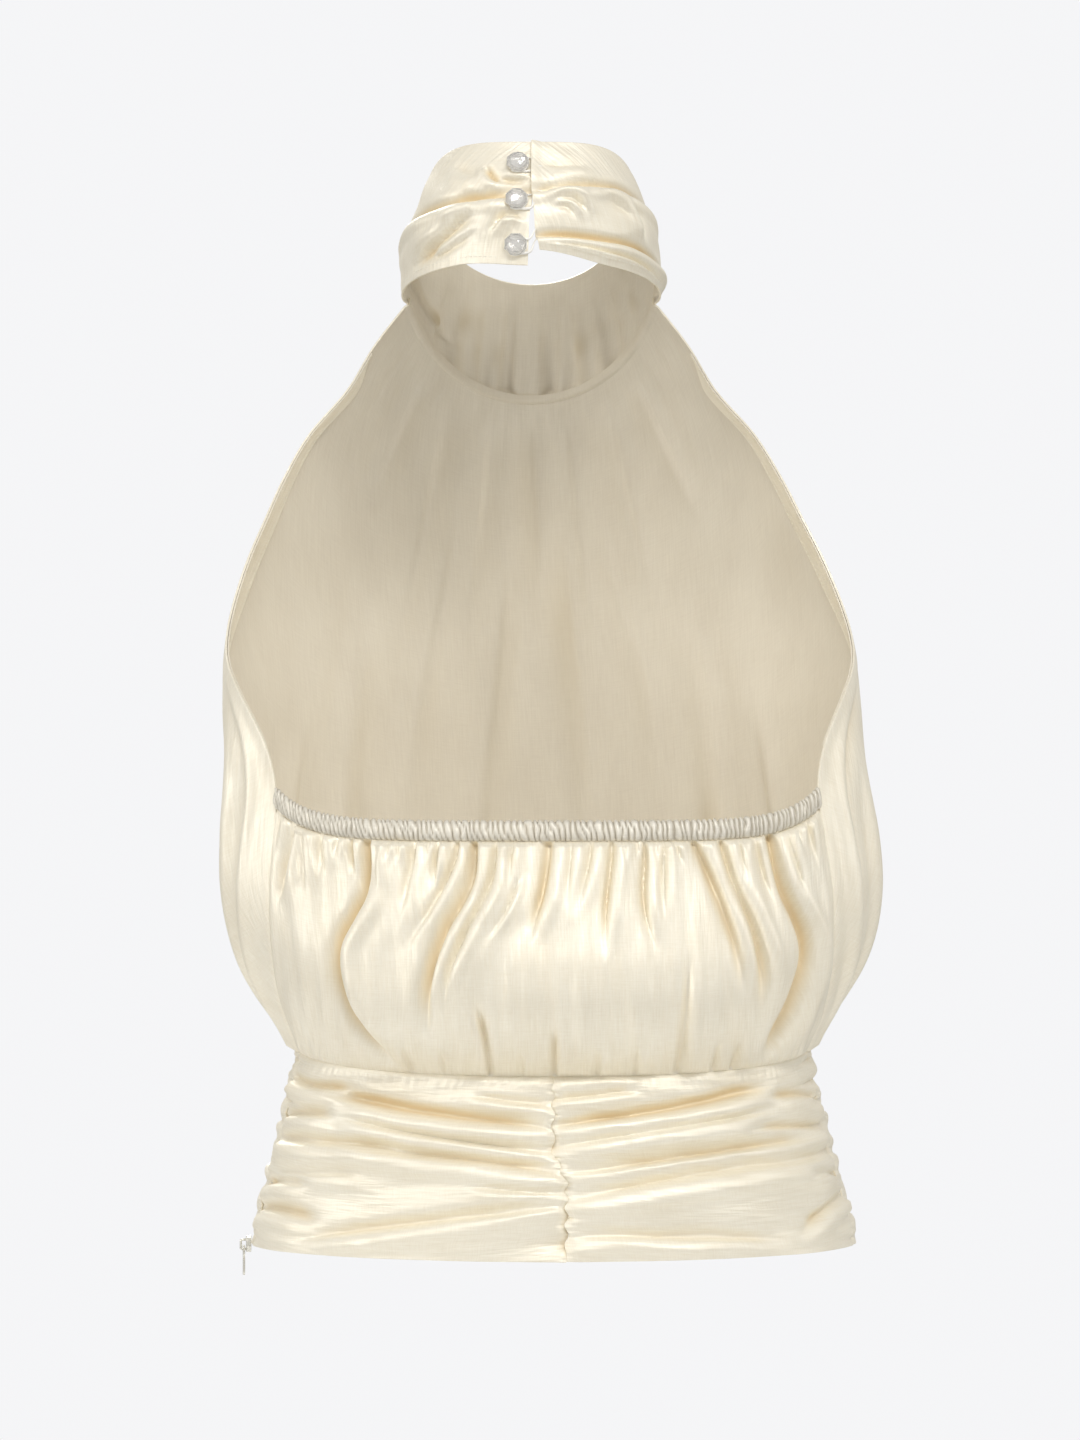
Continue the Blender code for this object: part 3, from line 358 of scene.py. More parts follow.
def form_point(form, angle, down):
    """A point of the bodice or the waistband; the angle is from the centre front to the wearer's left."""
    angle, down = np.broadcast_arrays(np.asarray(angle, float), np.asarray(down, float))
    angle = (angle + 180) % 360 - 180
    at = {name: at_height(form, name, down) for name in form if name != "down"}
    sin, cos, away = np.sin(np.radians(angle)), np.cos(np.radians(angle)), np.abs(angle)
    depth = np.where(cos > 0, at["mid"] - at["front"], at["back"] - at["mid"])
    before = at["front_drop"] * dip_share(away / at["edge"])
    behind = at["back_drop"] * (1 - np.clip((180 - away) / (180 - at["edge"]), 0, 1) ** at["flat"])
    drop = np.where(away <= at["edge"], before, behind)
    lean = LEAN * smooth_step((down - LEAN_TOP) / (LEAN_FOOT - LEAN_TOP))
    x, y = at["half_width"] * sin, at["mid"] - depth * cos
    return np.stack([x * MM + lean, y * MM, -down - drop * MM], axis=-1)


waist = form_point(BAND, [90, -90], WAIST_SEAM)[:, 0]
print("waist width", round((waist[0] - waist[1]) / MM), "mm")

# %% [markdown]
# ## Creases
# A crease in satin is not a sine wave. It has a narrow valley, a full round roll on the side that the
# cloth falls over from, and a slack slope on the other. Each crease here is one row of a table: where
# it starts and ends, how deep and wide it is, which side its roll is on, and a few places that its
# valley passes. Gathers that spring from a seam are many, so they come from a formula instead: a row
# of rolls with sharp valleys between them, each with its own height and length from a fixed seed.

# %% The section of a crease
FULLNESS = 1.3  # deeper or shallower creases all over
STEEP_SIDE, SLACK_SIDE = 0.42, 1.25
ROLL_HEIGHT, ROLL_PLACE, ROLL_WIDTH = 0.62, 1.6, 1.15
SWELL_HEIGHT, SWELL_PLACE, SWELL_WIDTH = 0.34, 4.0, 2.6
TUCK, TUCK_PLACE, TUCK_WIDTH = 0.30, 0.9, 0.7  # the lean of a roll over its valley, in crease widths
TUCK_DEPTH = 3  # creases less deep than this lean less


def hump(at, place, width):
    return np.exp(-(((at - place) / width) ** 2))


def crease_section(away, roll):
    """Height of the cloth over a crease, in its depth; away is in crease widths from the valley."""
    side = away * roll
    valley = hump(side, 0, np.where(side > 0, STEEP_SIDE, SLACK_SIDE))
    rolls = ROLL_HEIGHT * hump(side, ROLL_PLACE, ROLL_WIDTH)
    return rolls + SWELL_HEIGHT * hump(side, SWELL_PLACE, SWELL_WIDTH) - valley


def fold(away, fade, depth, width, roll):
    """How far a crease moves the cloth outwards, and how far its roll leans back over the valley."""
    lean = TUCK * width * min(1.0, depth / TUCK_DEPTH) * fade * hump(away * roll, TUCK_PLACE, TUCK_WIDTH)
    return FULLNESS * depth * MM * fade * crease_section(away, roll), -roll * lean


deepest = crease_section(np.linspace(-3, 3, 61), 1)
print("a crease goes from", round(deepest.min(), 2), "to", round(deepest.max(), 2), "of its depth")


# %% Creases that run down a panel, and creases that run round it
END_FADE = 0.3
END_REACH = 0.02  # creases that run round go on a little past their ends
CURVE_FADE = 0.35
SLOPE_STEP = 0.02
FIVE_PLACES = np.linspace(0, 1, 5)


def end_fade(along, reach=0.0, share=END_FADE):
    """Fades a crease out over this share of its length at both ends."""
    return smooth_step((along + reach) / share) * smooth_step((1 + reach - along) / share)


def creases_down(points, rows):
    """Outwards and towards +x; rows hold from, to, fade in, fade out, depth, width, roll, five places."""
    across, down = points[..., 0] / MM, -points[..., 2] / MM
    moves = np.zeros((2, *across.shape))
    for start, end, fade_in, fade_out, depth, width, roll, *places in rows:
        inside = np.clip((down - start) / (end - start), 0, 1)
        middle = smooth_curve(inside, FIVE_PLACES, places)
        ahead = smooth_curve(np.clip(inside + SLOPE_STEP, 0, 1), FIVE_PLACES, places)
        slope = (ahead - middle) / (SLOPE_STEP * (end - start))
        away = (across - middle) / width / np.sqrt(1 + slope**2)
        fade = smooth_step((down - start) / fade_in) * smooth_step((end - down) / fade_out)
        moves += fold(away, fade, depth, width * MM, roll)
    return moves


def creases_round(share, height, rows, tall):
    """Outwards and upwards; rows hold three shares along, the height at each, depth, width, roll."""
    moves = np.zeros((2, *np.broadcast(share, height).shape))
    for start, middle, end, *heights, depth, width, roll in rows:
        valley = smooth_curve(np.clip(share, start, end), (start, middle, end), heights)
        fade = end_fade((share - start) / (end - start), END_REACH)
        moves += fold((height - valley) / width, fade, depth, width * tall, roll)
    return moves[0], -moves[1]


def creases_curved(across, above, rows):
    """Outwards; rows hold the start, middle and end of short creases in mm, depth, width, roll."""
    spots = np.stack(np.broadcast_arrays(across / MM, above / MM), axis=-1)
    outwards = np.zeros(spots.shape[:-1])
    t = np.linspace(0, 1, 25)
    for *corners, depth, width, roll in rows:
        start, middle, end = np.reshape(corners, (3, 2))
        bend = 2 * middle - (start + end) / 2
        path = np.outer((1 - t) ** 2, start) + np.outer(2 * t * (1 - t), bend) + np.outer(t**2, end)
        way = np.gradient(path, axis=0)
        apart = spots[..., None, :] - path
        far = np.linalg.norm(apart, axis=-1)
        near = far.argmin(axis=-1)
        beside = np.take_along_axis(apart, near[..., None, None], axis=-2)[..., 0, :]
        side = np.sign(way[near][..., 0] * beside[..., 1] - way[near][..., 1] * beside[..., 0])
        away = side * far.min(axis=-1) / width
        outwards += fold(away, end_fade(t[near], 0.0, CURVE_FADE), depth, width, roll)[0]
    return outwards


# %% Gathers from a seam, and slack cloth
def gathers(share, distance, count, height, reach, seed):
    """Rolls side by side that spring from a seam, each with its own height and length."""
    chance = np.random.default_rng(seed)
    size = chance.uniform(0.45, 1.0, 4 * count)
    length = reach * MM * chance.uniform(0.35, 1.5, 4 * count)
    bends = chance.uniform(0, 2 * math.pi, 3)
    sway = 0.35 * np.sin(5 * math.pi * share + bends[0]) + 0.2 * np.sin(13 * math.pi * share + bends[1])
    drift = 0.35 * np.sin(9 * share + bends[2]) * distance / (reach * MM)
    phase = count * share + sway + drift + count
    which = np.clip(np.floor(phase).astype(int), 0, 4 * count - 1)
    roll = np.abs(np.sin(math.pi * phase)) ** 0.75
    away = np.maximum(distance, 0)
    fall = np.exp(-((away / length[which]) ** 1.4))
    mean = np.exp(-((away / (reach * MM)) ** 1.4))
    return height * MM * (roll * size[which] * fall - 0.35 * mean)


def slack(across, down, grain_across, grain_down, height, seed):
    """Low swells of loose cloth, from a few long waves; grains and height in millimetres."""
    chance = np.random.default_rng(seed)
    swell = 0.0
    for _ in range(7):
        turn, start = chance.uniform(-1, 1), chance.uniform(0, 2 * math.pi)
        wave = chance.uniform(0.7, 1.5)
        run = across / (grain_across * MM) + turn * down / (grain_down * MM)
        swell = swell + np.sin(2 * math.pi * wave * run + start)
    return height * MM * swell / 2.6


test = gathers(np.linspace(0, 1, 500), np.zeros(500), 30, 1.5, 30, 1)
print("gathers stand out up to", round(test.max() / MM, 1), "mm")

# %% [markdown]
# ## From points to cloth
# A panel starts as an array of points, rows running down and columns running round. NumPy is the
# quick way to work on such a grid: normals come from the differences of neighbours, and a step along
# the level normal raises a roll. The mesh gets a UV map in metres along the cloth, an attribute that
# marks how deep each point lies in a crease, where the satin paints shade, and then a Solidify wall
# inwards, whose inner faces take the wrong side of the satin. A small Bevel rounds the turned edge.

# %% Grid helpers
WALL = 1.0 * MM
TURNED_EDGE, TURNED_ANGLE = 0.3 * MM, math.radians(65)
SEAM_TUCK, SEAM_TUCK_WIDTH = 0.8 * MM, 1.7 * MM
# Painted crease shade is full at this depth inside a crease, and grows towards it by this power.
CREASE_SHADE_DEPTH = 5.5 * MM
CREASE_SHADE_CURVE = 1.6


def outward(points):
    """Unit normals of a grid, pointing out of the body."""
    normal = np.cross(np.gradient(points, axis=0), np.gradient(points, axis=1))
    return normal / np.linalg.norm(normal, axis=-1, keepdims=True)


def level_out(points):
    """The same normals laid level, so that a seam keeps its height."""
    flat = outward(points) * np.array([1.0, 1.0, 0.0])
    return flat / np.linalg.norm(flat, axis=-1, keepdims=True)


def moved(smooth, outwards, sideways=0.0, upwards=0.0):
    """The form moved outwards on the level, and then aside and up."""
    points = smooth + level_out(smooth) * outwards[..., None]
    points[..., 0] += sideways
    points[..., 2] += upwards
    return points


def spread(points):
    """Distances along the cloth in metres: across from the middle column, and down from the top."""
    across = np.linalg.norm(np.diff(points, axis=1), axis=2).cumsum(axis=1)
    down = np.linalg.norm(np.diff(points, axis=0), axis=2).cumsum(axis=0)
    u = np.pad(across, ((0, 0), (1, 0)))
    v = np.pad(down, ((1, 0), (0, 0)))
    return u - u[:, u.shape[1] // 2][:, None], v


def from_ends(smooth):
    """Distances along the cloth from its first and from its last column."""
    u, _ = spread(smooth)
    return u - u[:, :1], u[:, -1:] - u


def seam_tuck(*distances):
    """The cloth dips where it is pulled into its seams."""
    return sum(-SEAM_TUCK * np.exp(-((distance / SEAM_TUCK_WIDTH) ** 2)) for distance in distances)


def steps(count):
    return max(8, round(count * DETAIL))


def cloth_piece(name, points, smooth, materials, wall=WALL, warp_across=False, shade_full_depth=CREASE_SHADE_DEPTH):
    """A panel of cloth: points are its outer face and smooth the same form without creases."""
    rows, columns = points.shape[:2]
    index = np.arange(rows * columns).reshape(rows, columns)
    corners = np.stack([index[:-1, :-1], index[1:, :-1], index[1:, 1:], index[:-1, 1:]], axis=-1)
    mesh = bpy.data.meshes.new(name)
    mesh.from_pydata(points.reshape(-1, 3), [], corners.reshape(-1, 4))
    mesh.shade_smooth()
    u, v = spread(smooth)
    uv = np.stack([v, u] if warp_across else [u, -v], axis=-1).reshape(-1, 2)
    mesh.uv_layers.new(name="cloth").data.foreach_set("uv", uv[corners.reshape(-1)].ravel())
    # Painted shade: the deeper a point sinks into a crease, the more of the crease colour the satin paints
    # there.
    inward = -((points - smooth) * outward(smooth)).sum(axis=-1)
    crease_shade = np.clip(inward / shade_full_depth, 0, 1).ravel() ** CREASE_SHADE_CURVE
    mesh.attributes.new("crease_shade", "FLOAT", "POINT").data.foreach_set("value", crease_shade)
    for material in materials:
        mesh.materials.append(material)
    piece = new_object(name, mesh)
    thick = piece.modifiers.new("wall", "SOLIDIFY")
    thick.thickness = wall
    thick.offset = -1
    thick.material_offset = 1
    round_edges(piece, TURNED_EDGE, TURNED_ANGLE)
    print(name, rows, "x", columns, "points")
    return piece


def round_edges(piece, width, angle=math.radians(30)):
    """Rounds the edges that are sharper than this angle."""
    rounding = piece.modifiers.new("rounded_edge", "BEVEL")
    rounding.width = width
    rounding.segments = 2
    rounding.limit_method = "ANGLE"
    rounding.angle_limit = angle


def seat(piece, node=None, body="top"):
    """Lets a piece ride with its body and, if one is named, stand for its solid."""
    if node:
        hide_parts(node)
    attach(piece, body)
    return piece


def settle(piece, node):
    """Seats a cloth piece in place of its solid."""
    seat(piece, node)


# %% [markdown]
# ## The back panel
# The low back is one wide piece that is gathered into the elastic casing above and into the waist seam
# below, with more length than it needs, so it blouses. Its long creases follow an S: they fall from
# the casing, swing outwards over the fullest part and turn in again to the seam. They are listed one
# by one, left and right quite different, with short gathers between them.

# %% Back panel creases (millimetres)
BACK_CREASES = (  # from, to, fade in, fade out, depth, width, roll, five places across
    (272, 388, 3, 24, 6.2, 3.6, -1, 76.9, 77.5, 90.5, 83.0, 61.0),
    (264, 314, 3, 26, 2.6, 3.0, -1, 112.0, 113.5, 116.5, 120.0, 123.0),
    (272, 304, 3, 16, 1.8, 2.6, -1, 108.2, 108.2, 108.0, 107.8, 107.6),
    (272, 296, 3, 14, 2.0, 2.2, -1, 99.8, 99.5, 99.2, 98.8, 98.4),
    (272, 288, 3, 10, 1.5, 1.5, -1, 91.1, 91.6, 92.1, 92.6, 93.1),
    (272, 298, 3, 15, 2.6, 1.7, -1, 84.9, 84.8, 84.6, 84.3, 84.0),
    (272, 306, 3, 18, 2.2, 2.2, -1, 72.4, 72.0, 71.7, 71.4, 71.2),
    (272, 291, 3, 12, 1.8, 1.5, -1, 68.6, 69.3, 70.0, 70.7, 71.4),
    (272, 289, 3, 11, 1.7, 1.4, -1, 64.0, 65.0, 66.0, 67.0, 68.0),
    (272, 290, 3, 11, 1.5, 1.4, -1, 60.9, 61.3, 61.8, 62.3, 62.8),
    (272, 322, 3, 32, 2.6, 2.4, -1, 54.2, 54.9, 57.5, 60.5, 63.2),
    (272, 289, 3, 11, 1.6, 1.5, -1, 47.0, 47.8, 48.6, 49.4, 50.2),
    (272, 302, 3, 16, 2.8, 1.8, -1, 42.0, 43.3, 44.5, 45.3, 45.7),
    (272, 334, 3, 40, 3.0, 2.2, -1, 33.0, 36.0, 43.5, 53.0, 63.0),
    (272, 372, 3, 34, 4.8, 3.4, -1, 25.3, 27.5, 41.0, 48.0, 48.2),
    (272, 366, 3, 40, 3.8, 2.5, -1, 15.6, 18.0, 29.5, 39.0, 41.0),
    (272, 288, 3, 10, 1.3, 1.2, -1, 13.3, 13.4, 13.5, 13.7, 13.9),
    (272, 300, 3, 18, 1.8, 2.0, -1, 7.3, 8.2, 9.1, 9.7, 9.9),
    (292, 326, 10, 18, 1.6, 1.4, -1, 4.6, 7.4, 11.0, 16.0, 22.0),
    (272, 328, 3, 26, 4.0, 3.0, -1, -9.9, -9.4, -6.8, -2.6, 2.0),
    (272, 310, 3, 22, 2.0, 2.3, -1, -20.0, -19.3, -18.5, -17.7, -16.9),
    (272, 314, 3, 24, 2.4, 2.5, -1, -29.4, -28.6, -26.5, -23.4, -20.0),
    (272, 334, 3, 30, 3.6, 2.4, -1, -39.8, -38.7, -36.8, -35.8, -35.4),
    (272, 289, 3, 10, 1.5, 1.3, -1, -44.4, -44.3, -44.3, -44.2, -44.1),
    (272, 288, 3, 10, 1.5, 1.3, -1, -50.6, -50.5, -50.5, -50.4, -50.3),
    (272, 330, 3, 26, 3.4, 2.6, -1, -53.9, -54.7, -54.1, -55.6, -59.8),
    (272, 290, 3, 12, 1.7, 1.4, -1, -58.8, -59.1, -59.4, -59.7, -60.0),
    (272, 316, 3, 26, 2.0, 2.2, -1, -62.8, -63.2, -63.2, -62.8, -62.3),
    (272, 290, 3, 11, 1.7, 1.4, -1, -66.4, -67.8, -69.2, -70.6, -72.0),
    (272, 350, 3, 36, 4.2, 3.2, -1, -75.5, -85.0, -93.2, -99.0, -100.4),
    (270, 366, 3, 38, 4.6, 3.0, -1, -89.0, -95.6, -106.0, -111.6, -107.0),
    (270, 302, 3, 18, 2.4, 1.8, -1, -95.8, -97.7, -99.4, -100.9, -102.2),
    (270, 286, 3, 9, 1.4, 1.3, -1, -101.0, -101.1, -101.2, -101.4, -101.6),
    (268, 310, 3, 24, 2.6, 2.2, -1, -105.0, -107.0, -109.2, -111.8, -115.0),
    (266, 388, 3, 24, 5.8, 3.4, -1, -113.6, -119.8, -132.6, -125.5, -109.0),
    (266, 310, 3, 24, 2.8, 2.0, -1, -120.0, -122.0, -124.8, -127.6, -130.0),
    (262, 284, 3, 14, 1.8, 1.5, -1, -124.6, -125.2, -126.0, -126.8, -127.6),
    (258, 294, 3, 22, 2.2, 2.0, -1, -130.0, -131.2, -132.8, -134.4, -136.0),
    (256, 290, 3, 20, 2.2, 2.2, -1, 119.0, 120.2, 121.8, 123.4, 125.0),
    (350, 396, 16, 3, 2.6, 2.0, 1, 27.0, 24.4, 22.0, 20.3, 19.0),
    (362, 396, 14, 3, 2.4, 1.8, -1, -11.9, -11.9, -11.9, -12.0, -12.0),
    (326, 396, 30, 3, 2.0, 2.2, -1, -74.6, -74.6, -73.8, -71.6, -68.4),
    (372, 396, 10, 3, 1.6, 1.6, 1, 60.0, 58.6, 57.3, 56.2, 55.4),
    (374, 396, 10, 3, 1.5, 1.5, 1, 43.5, 42.4, 41.5, 40.8, 40.2),
    (376, 396, 9, 3, 1.4, 1.4, -1, 4.0, 3.6, 3.4, 3.2, 3.0),
    (374, 396, 10, 3, 1.5, 1.5, -1, -32.8, -32.4, -32.0, -31.6, -31.2),
    (372, 396, 10, 3, 1.6, 1.5, -1, -51.0, -50.4, -49.9, -49.4, -49.0),
    (370, 396, 11, 3, 1.8, 1.6, -1, -90.5, -89.0, -87.6, -86.2, -85.0),
    (370, 396, 11, 3, 1.8, 1.6, -1, -101.0, -99.0, -97.2, -95.6, -94.2),
)
BACK_FINE_GATHERS = (92, 0.9, 7.0, 9)  # count, height and reach in mm, seed
BACK_FOOT_GATHERS = (46, 0.9, 7.0, 12)
BACK_SLACK = ((34, 190, 0.6, 3), (11, 60, 0.3, 2))  # grain across and down, height in mm, seed
BACK_GRID = (430, 104)  # steps across and down
BACK_CALM = 9 * MM  # the creases fade out this near a side seam
SEAM_CALM = 2 * MM


# %% Back panel
share = np.linspace(0, 1, steps(BACK_GRID[0]) + 1)[None, :]
down = np.linspace(SIDE_SEAM_TOP + CASING_HEIGHT, WAIST_SEAM, steps(BACK_GRID[1]) + 1)[:, None]
edge = at_height(BODY, "edge", down)
smooth = form_point(BODY, edge + (360 - 2 * edge) * share, down)
from_top, from_foot, from_side = down - down[0], down[-1] - down, np.minimum(*from_ends(smooth))
outwards, sideways = creases_down(smooth, BACK_CREASES)
outwards += gathers(share, from_top, *BACK_FINE_GATHERS)
outwards += gathers(share, from_foot, *BACK_FOOT_GATHERS)
for row in BACK_SLACK:
    outwards += slack(smooth[..., 0], smooth[..., 2], *row)
calm = smooth_step(from_side / BACK_CALM)
outwards *= calm * smooth_step(from_top / SEAM_CALM) * smooth_step(from_foot / SEAM_CALM)
outwards += seam_tuck(from_side, from_top, from_foot)
points = moved(smooth, outwards, sideways * calm)
back_panel = cloth_piece("back_panel_cloth", points, smooth, (satin, satin_back))
settle(back_panel, "back_panel")

# %% [markdown]
# ## The front panel
# The front is one piece from the neck seam to the waist. It wraps past the sides, so the low back is
# sewn to it there. From behind one sees its wrong side through the open back, with soft folds that
# fall from the neck; from the front they run over the bust and end in gathers at the waist seam.

# %% Front panel creases (millimetres)
FRONT_CREASES = (  # the same columns
    (58, 190, 26, 70, 1.8, 6.0, 1, 41.0, 47.0, 54.0, 61.0, 66.0),
    (66, 200, 26, 70, 1.5, 6.5, 1, 19.0, 22.0, 26.0, 30.0, 34.0),
    (66, 176, 26, 60, 1.3, 6.0, -1, 2.0, 1.0, -1.0, -2.0, -3.0),
    (66, 205, 26, 70, 1.5, 6.5, -1, -16.0, -18.0, -22.0, -27.0, -32.0),
    (58, 186, 26, 66, 1.8, 6.0, -1, -38.0, -43.0, -50.0, -58.0, -64.0),
    (46, 120, 18, 40, 1.8, 4.5, 1, 52.0, 60.0, 69.0, 77.0, 84.0),
    (46, 124, 18, 40, 1.8, 4.5, -1, -51.0, -59.0, -68.0, -77.0, -85.0),
    (86, 318, 60, 110, 1.9, 7.5, 1, 31.0, 41.0, 53.0, 60.0, 62.0),
    (92, 296, 60, 100, 1.7, 7.5, -1, -29.0, -41.0, -55.0, -63.0, -66.0),
    (112, 352, 70, 90, 1.9, 6.5, 1, 9.0, 13.0, 19.0, 24.0, 26.0),
    (102, 326, 70, 90, 1.7, 6.5, -1, -13.0, -17.0, -23.0, -28.0, -31.0),
    (142, 374, 60, 46, 2.2, 6.0, 1, 80.0, 87.0, 92.0, 89.0, 80.0),
    (150, 374, 60, 46, 2.2, 6.0, -1, -78.0, -86.0, -92.0, -90.0, -81.0),
    (210, 380, 60, 30, 1.8, 5.0, -1, 112.0, 118.0, 121.0, 118.0, 106.0),
    (202, 380, 60, 30, 1.8, 5.0, 1, -112.0, -119.0, -123.0, -120.0, -108.0),
    (240, 388, 70, 3, 4.2, 5.0, 1, 96.0, 101.0, 105.0, 102.0, 90.0),
    (276, 388, 60, 3, 3.2, 4.6, 1, 55.0, 58.0, 60.0, 57.0, 50.0),
    (292, 388, 50, 3, 2.6, 4.2, -1, 8.0, 10.0, 12.0, 13.0, 12.0),
    (270, 388, 60, 3, 3.2, 4.6, -1, -44.0, -48.0, -52.0, -51.0, -44.0),
    (244, 388, 70, 3, 4.2, 5.0, -1, -92.0, -97.0, -103.0, -101.0, -90.0),
    (322, 388, 36, 3, 2.6, 3.6, 1, 74.0, 76.0, 77.0, 75.0, 71.0),
    (330, 388, 32, 3, 2.4, 3.4, -1, 30.0, 31.0, 32.0, 31.0, 30.0),
    (326, 388, 34, 3, 2.4, 3.4, 1, -18.0, -19.0, -20.0, -20.0, -19.0),
    (318, 388, 36, 3, 2.6, 3.6, -1, -70.0, -73.0, -75.0, -74.0, -69.0),
    (346, 388, 24, 3, 1.8, 2.6, 1, 42.0, 42.0, 41.5, 41.0, 40.0),
    (350, 388, 22, 3, 1.8, 2.4, -1, -6.0, -5.5, -5.0, -4.5, -4.0),
    (344, 388, 24, 3, 1.8, 2.6, -1, -33.0, -34.0, -34.5, -34.0, -33.0),
    (348, 388, 22, 3, 1.8, 2.4, 1, 64.0, 65.0, 65.0, 63.5, 61.0),
    (350, 388, 22, 3, 1.8, 2.4, -1, -57.0, -58.0, -58.5, -58.0, -56.0),
)
SIDE_CREASES = (  # over the puffed sides: share across, from, to, depth, width as a share, roll
    (-0.955, 204, 386, 2.6, 0.022, 1),
    (-0.900, 184, 386, 3.4, 0.030, -1),
    (-0.830, 236, 386, 3.0, 0.028, 1),
    (-0.760, 205, 386, 3.4, 0.034, -1),
    (-0.690, 262, 386, 2.6, 0.030, 1),
    (0.960, 200, 386, 2.4, 0.022, -1),
    (0.905, 190, 386, 3.4, 0.030, 1),
    (0.840, 228, 386, 3.0, 0.028, -1),
    (0.765, 204, 386, 3.4, 0.034, 1),
    (0.700, 256, 386, 2.6, 0.030, -1),
)
FRONT_LONG_GATHERS = (40, 1.9, 24.0, 21)
FRONT_NECK_GATHERS = (26, 0.9, 22.0, 23)
FRONT_SLACK = (60, 200, 0.7, 31)
SHOULDER_DOWN = 15.6 * MM  # the neck seam, in the form's own heights
NECK_ALLOWANCE, NECK_SUNK = 3.2 * MM, 1.5 * MM  # the cloth above that seam lies behind the collar
FACING_CLEAR = 3 * MM  # the armhole's edge stays plain for its facing
FRONT_GRID = (284, 16, 148)  # steps across, down over the neck seam, and on down to the waist
FRONT_CALM, BELOW_NECK_CALM, NECK_GATHER_START = 14 * MM, 8 * MM, 6 * MM
SIDE_SWAY, SIDE_SWAY_TURN = 0.018, 3.1


# %% Front panel
def front_face(share, down, smooth):
    """The front panel's outer face, creased; shares run from -1 at the right edge to 1 at the left."""
    outwards, sideways = creases_down(smooth, FRONT_CREASES)
    for place, start, end, depth, width, roll in SIDE_CREASES:
        along = (down / MM - start) / (end - start)
        sway = SIDE_SWAY * np.sin(SIDE_SWAY_TURN * along + 9 * place)
        outwards += depth * MM * end_fade(along) * crease_section((share - place - sway) / width, roll)
    below, above, across = down - SHOULDER_DOWN, WAIST_SEAM - down, (share + 1) / 2
    outwards += gathers(across, above, *FRONT_LONG_GATHERS)
    outwards += gathers(across, below, *FRONT_NECK_GATHERS) * smooth_step(below / NECK_GATHER_START)
    outwards += slack(smooth[..., 0], smooth[..., 2], *FRONT_SLACK)
    from_side = np.minimum(*from_ends(smooth))
    calm = smooth_step((from_side - FACING_CLEAR) / FRONT_CALM) * smooth_step(above / SEAM_CALM)
    calm = calm * smooth_step((below - NECK_ALLOWANCE) / BELOW_NECK_CALM)
    outwards = outwards * calm - NECK_SUNK * smooth_step((1.0 * MM - below) / (1.4 * MM))
    outwards += seam_tuck(from_side) * smooth_step((down - SIDE_SEAM_TOP) / (3 * MM)) + seam_tuck(above)
    return moved(smooth, outwards, sideways * calm)


across, at_neck, below_neck = [steps(count) + 1 for count in FRONT_GRID]
share = np.linspace(-1, 1, across)[None, :]
near_neck = SHOULDER_DOWN + NECK_ALLOWANCE * np.linspace(-1, 1, at_neck)
below_it = np.linspace(near_neck[-1], WAIST_SEAM, below_neck)[1:]
down = np.concatenate([near_neck, below_it])[:, None]
smooth = form_point(BODY, share * at_height(BODY, "edge", down), down)
points = front_face(share, down, smooth)
front_panel = cloth_piece("front_panel_cloth", points, smooth, (satin, satin_back))
settle(front_panel, "front_panel")

# %% [markdown]
# ## The armhole facings
# Each armhole edge is turned in and sewn down, which shows inside as a strip that widens downwards.
# It is made from the front panel's own points, moved inwards by the wall and a hair's breadth, so it
# lies on the panel however the panel is folded.

# %% Armhole facings
FACING_GAP = 0.25 * MM
FACING_WALL = 0.7 * MM
FACING_TIP, FACING_TOP, FACING_FOOT = 1.5 * MM, 8 * MM, 24 * MM  # its width from the neck downwards
FACING_START, ARMHOLE_END = SHOULDER_DOWN + 22 * MM, 232 * MM
FACING_TIP_LENGTH, WIDENS_FROM, WIDENS_OVER = 16 * MM, 60 * MM, 110 * MM
FACING_EDGE = 0.999  # 1 is the panel's own edge
FACING_GRID = (22, 130)
STITCH_ROWS, STITCH_COLUMN = slice(18, -2), 2


def armhole_facing(word, side):
    """One facing; gives back the line of its stitches, along its inner edge."""
    down = np.linspace(FACING_START, ARMHOLE_END, steps(FACING_GRID[1]) + 1)[:, None]
    edge, half = at_height(BODY, "edge", down), at_height(BODY, "half_width", down) * MM
    wide = FACING_TOP + (FACING_FOOT - FACING_TOP) * smooth_step((down - WIDENS_FROM) / WIDENS_OVER)
    wide = FACING_TIP + (wide - FACING_TIP) * smooth_step((down - FACING_START) / FACING_TIP_LENGTH)
    inner = 1 - np.degrees(wide / half) / edge
    strip = np.linspace(0, 1, steps(FACING_GRID[0]) + 1)[None, ::side]
    share = side * (inner + (FACING_EDGE - inner) * strip)
    smooth = form_point(BODY, share * edge, down)
    face = front_face(share, down, smooth)
    sunk = WALL + FACING_GAP
    points, plain = face - outward(face) * sunk, smooth - outward(smooth) * sunk
    piece = cloth_piece(f"armhole_facing_{word}_cloth", points, plain, (satin_back, satin), FACING_WALL)
    settle(piece, f"armhole_facing_{word}")
    inside = face - outward(face) * (sunk + FACING_WALL)
    return inside[STITCH_ROWS, ::side][:, STITCH_COLUMN]


facing_lines = [armhole_facing("left", 1), armhole_facing("right", -1)]

# %% [markdown]
# ## The waistband
# The waistband is cut much higher than it stands and ruched at both side seams and at the centre
# back, so its cloth lies in deep level folds that fan out of those seams. The centre back seam
# itself wanders a little, because the ruching pulls it. Each crease is given by its share of the way
# from the centre back to the side seam, and its share of the way down. On the front, the way is that
# from one side seam to the other.

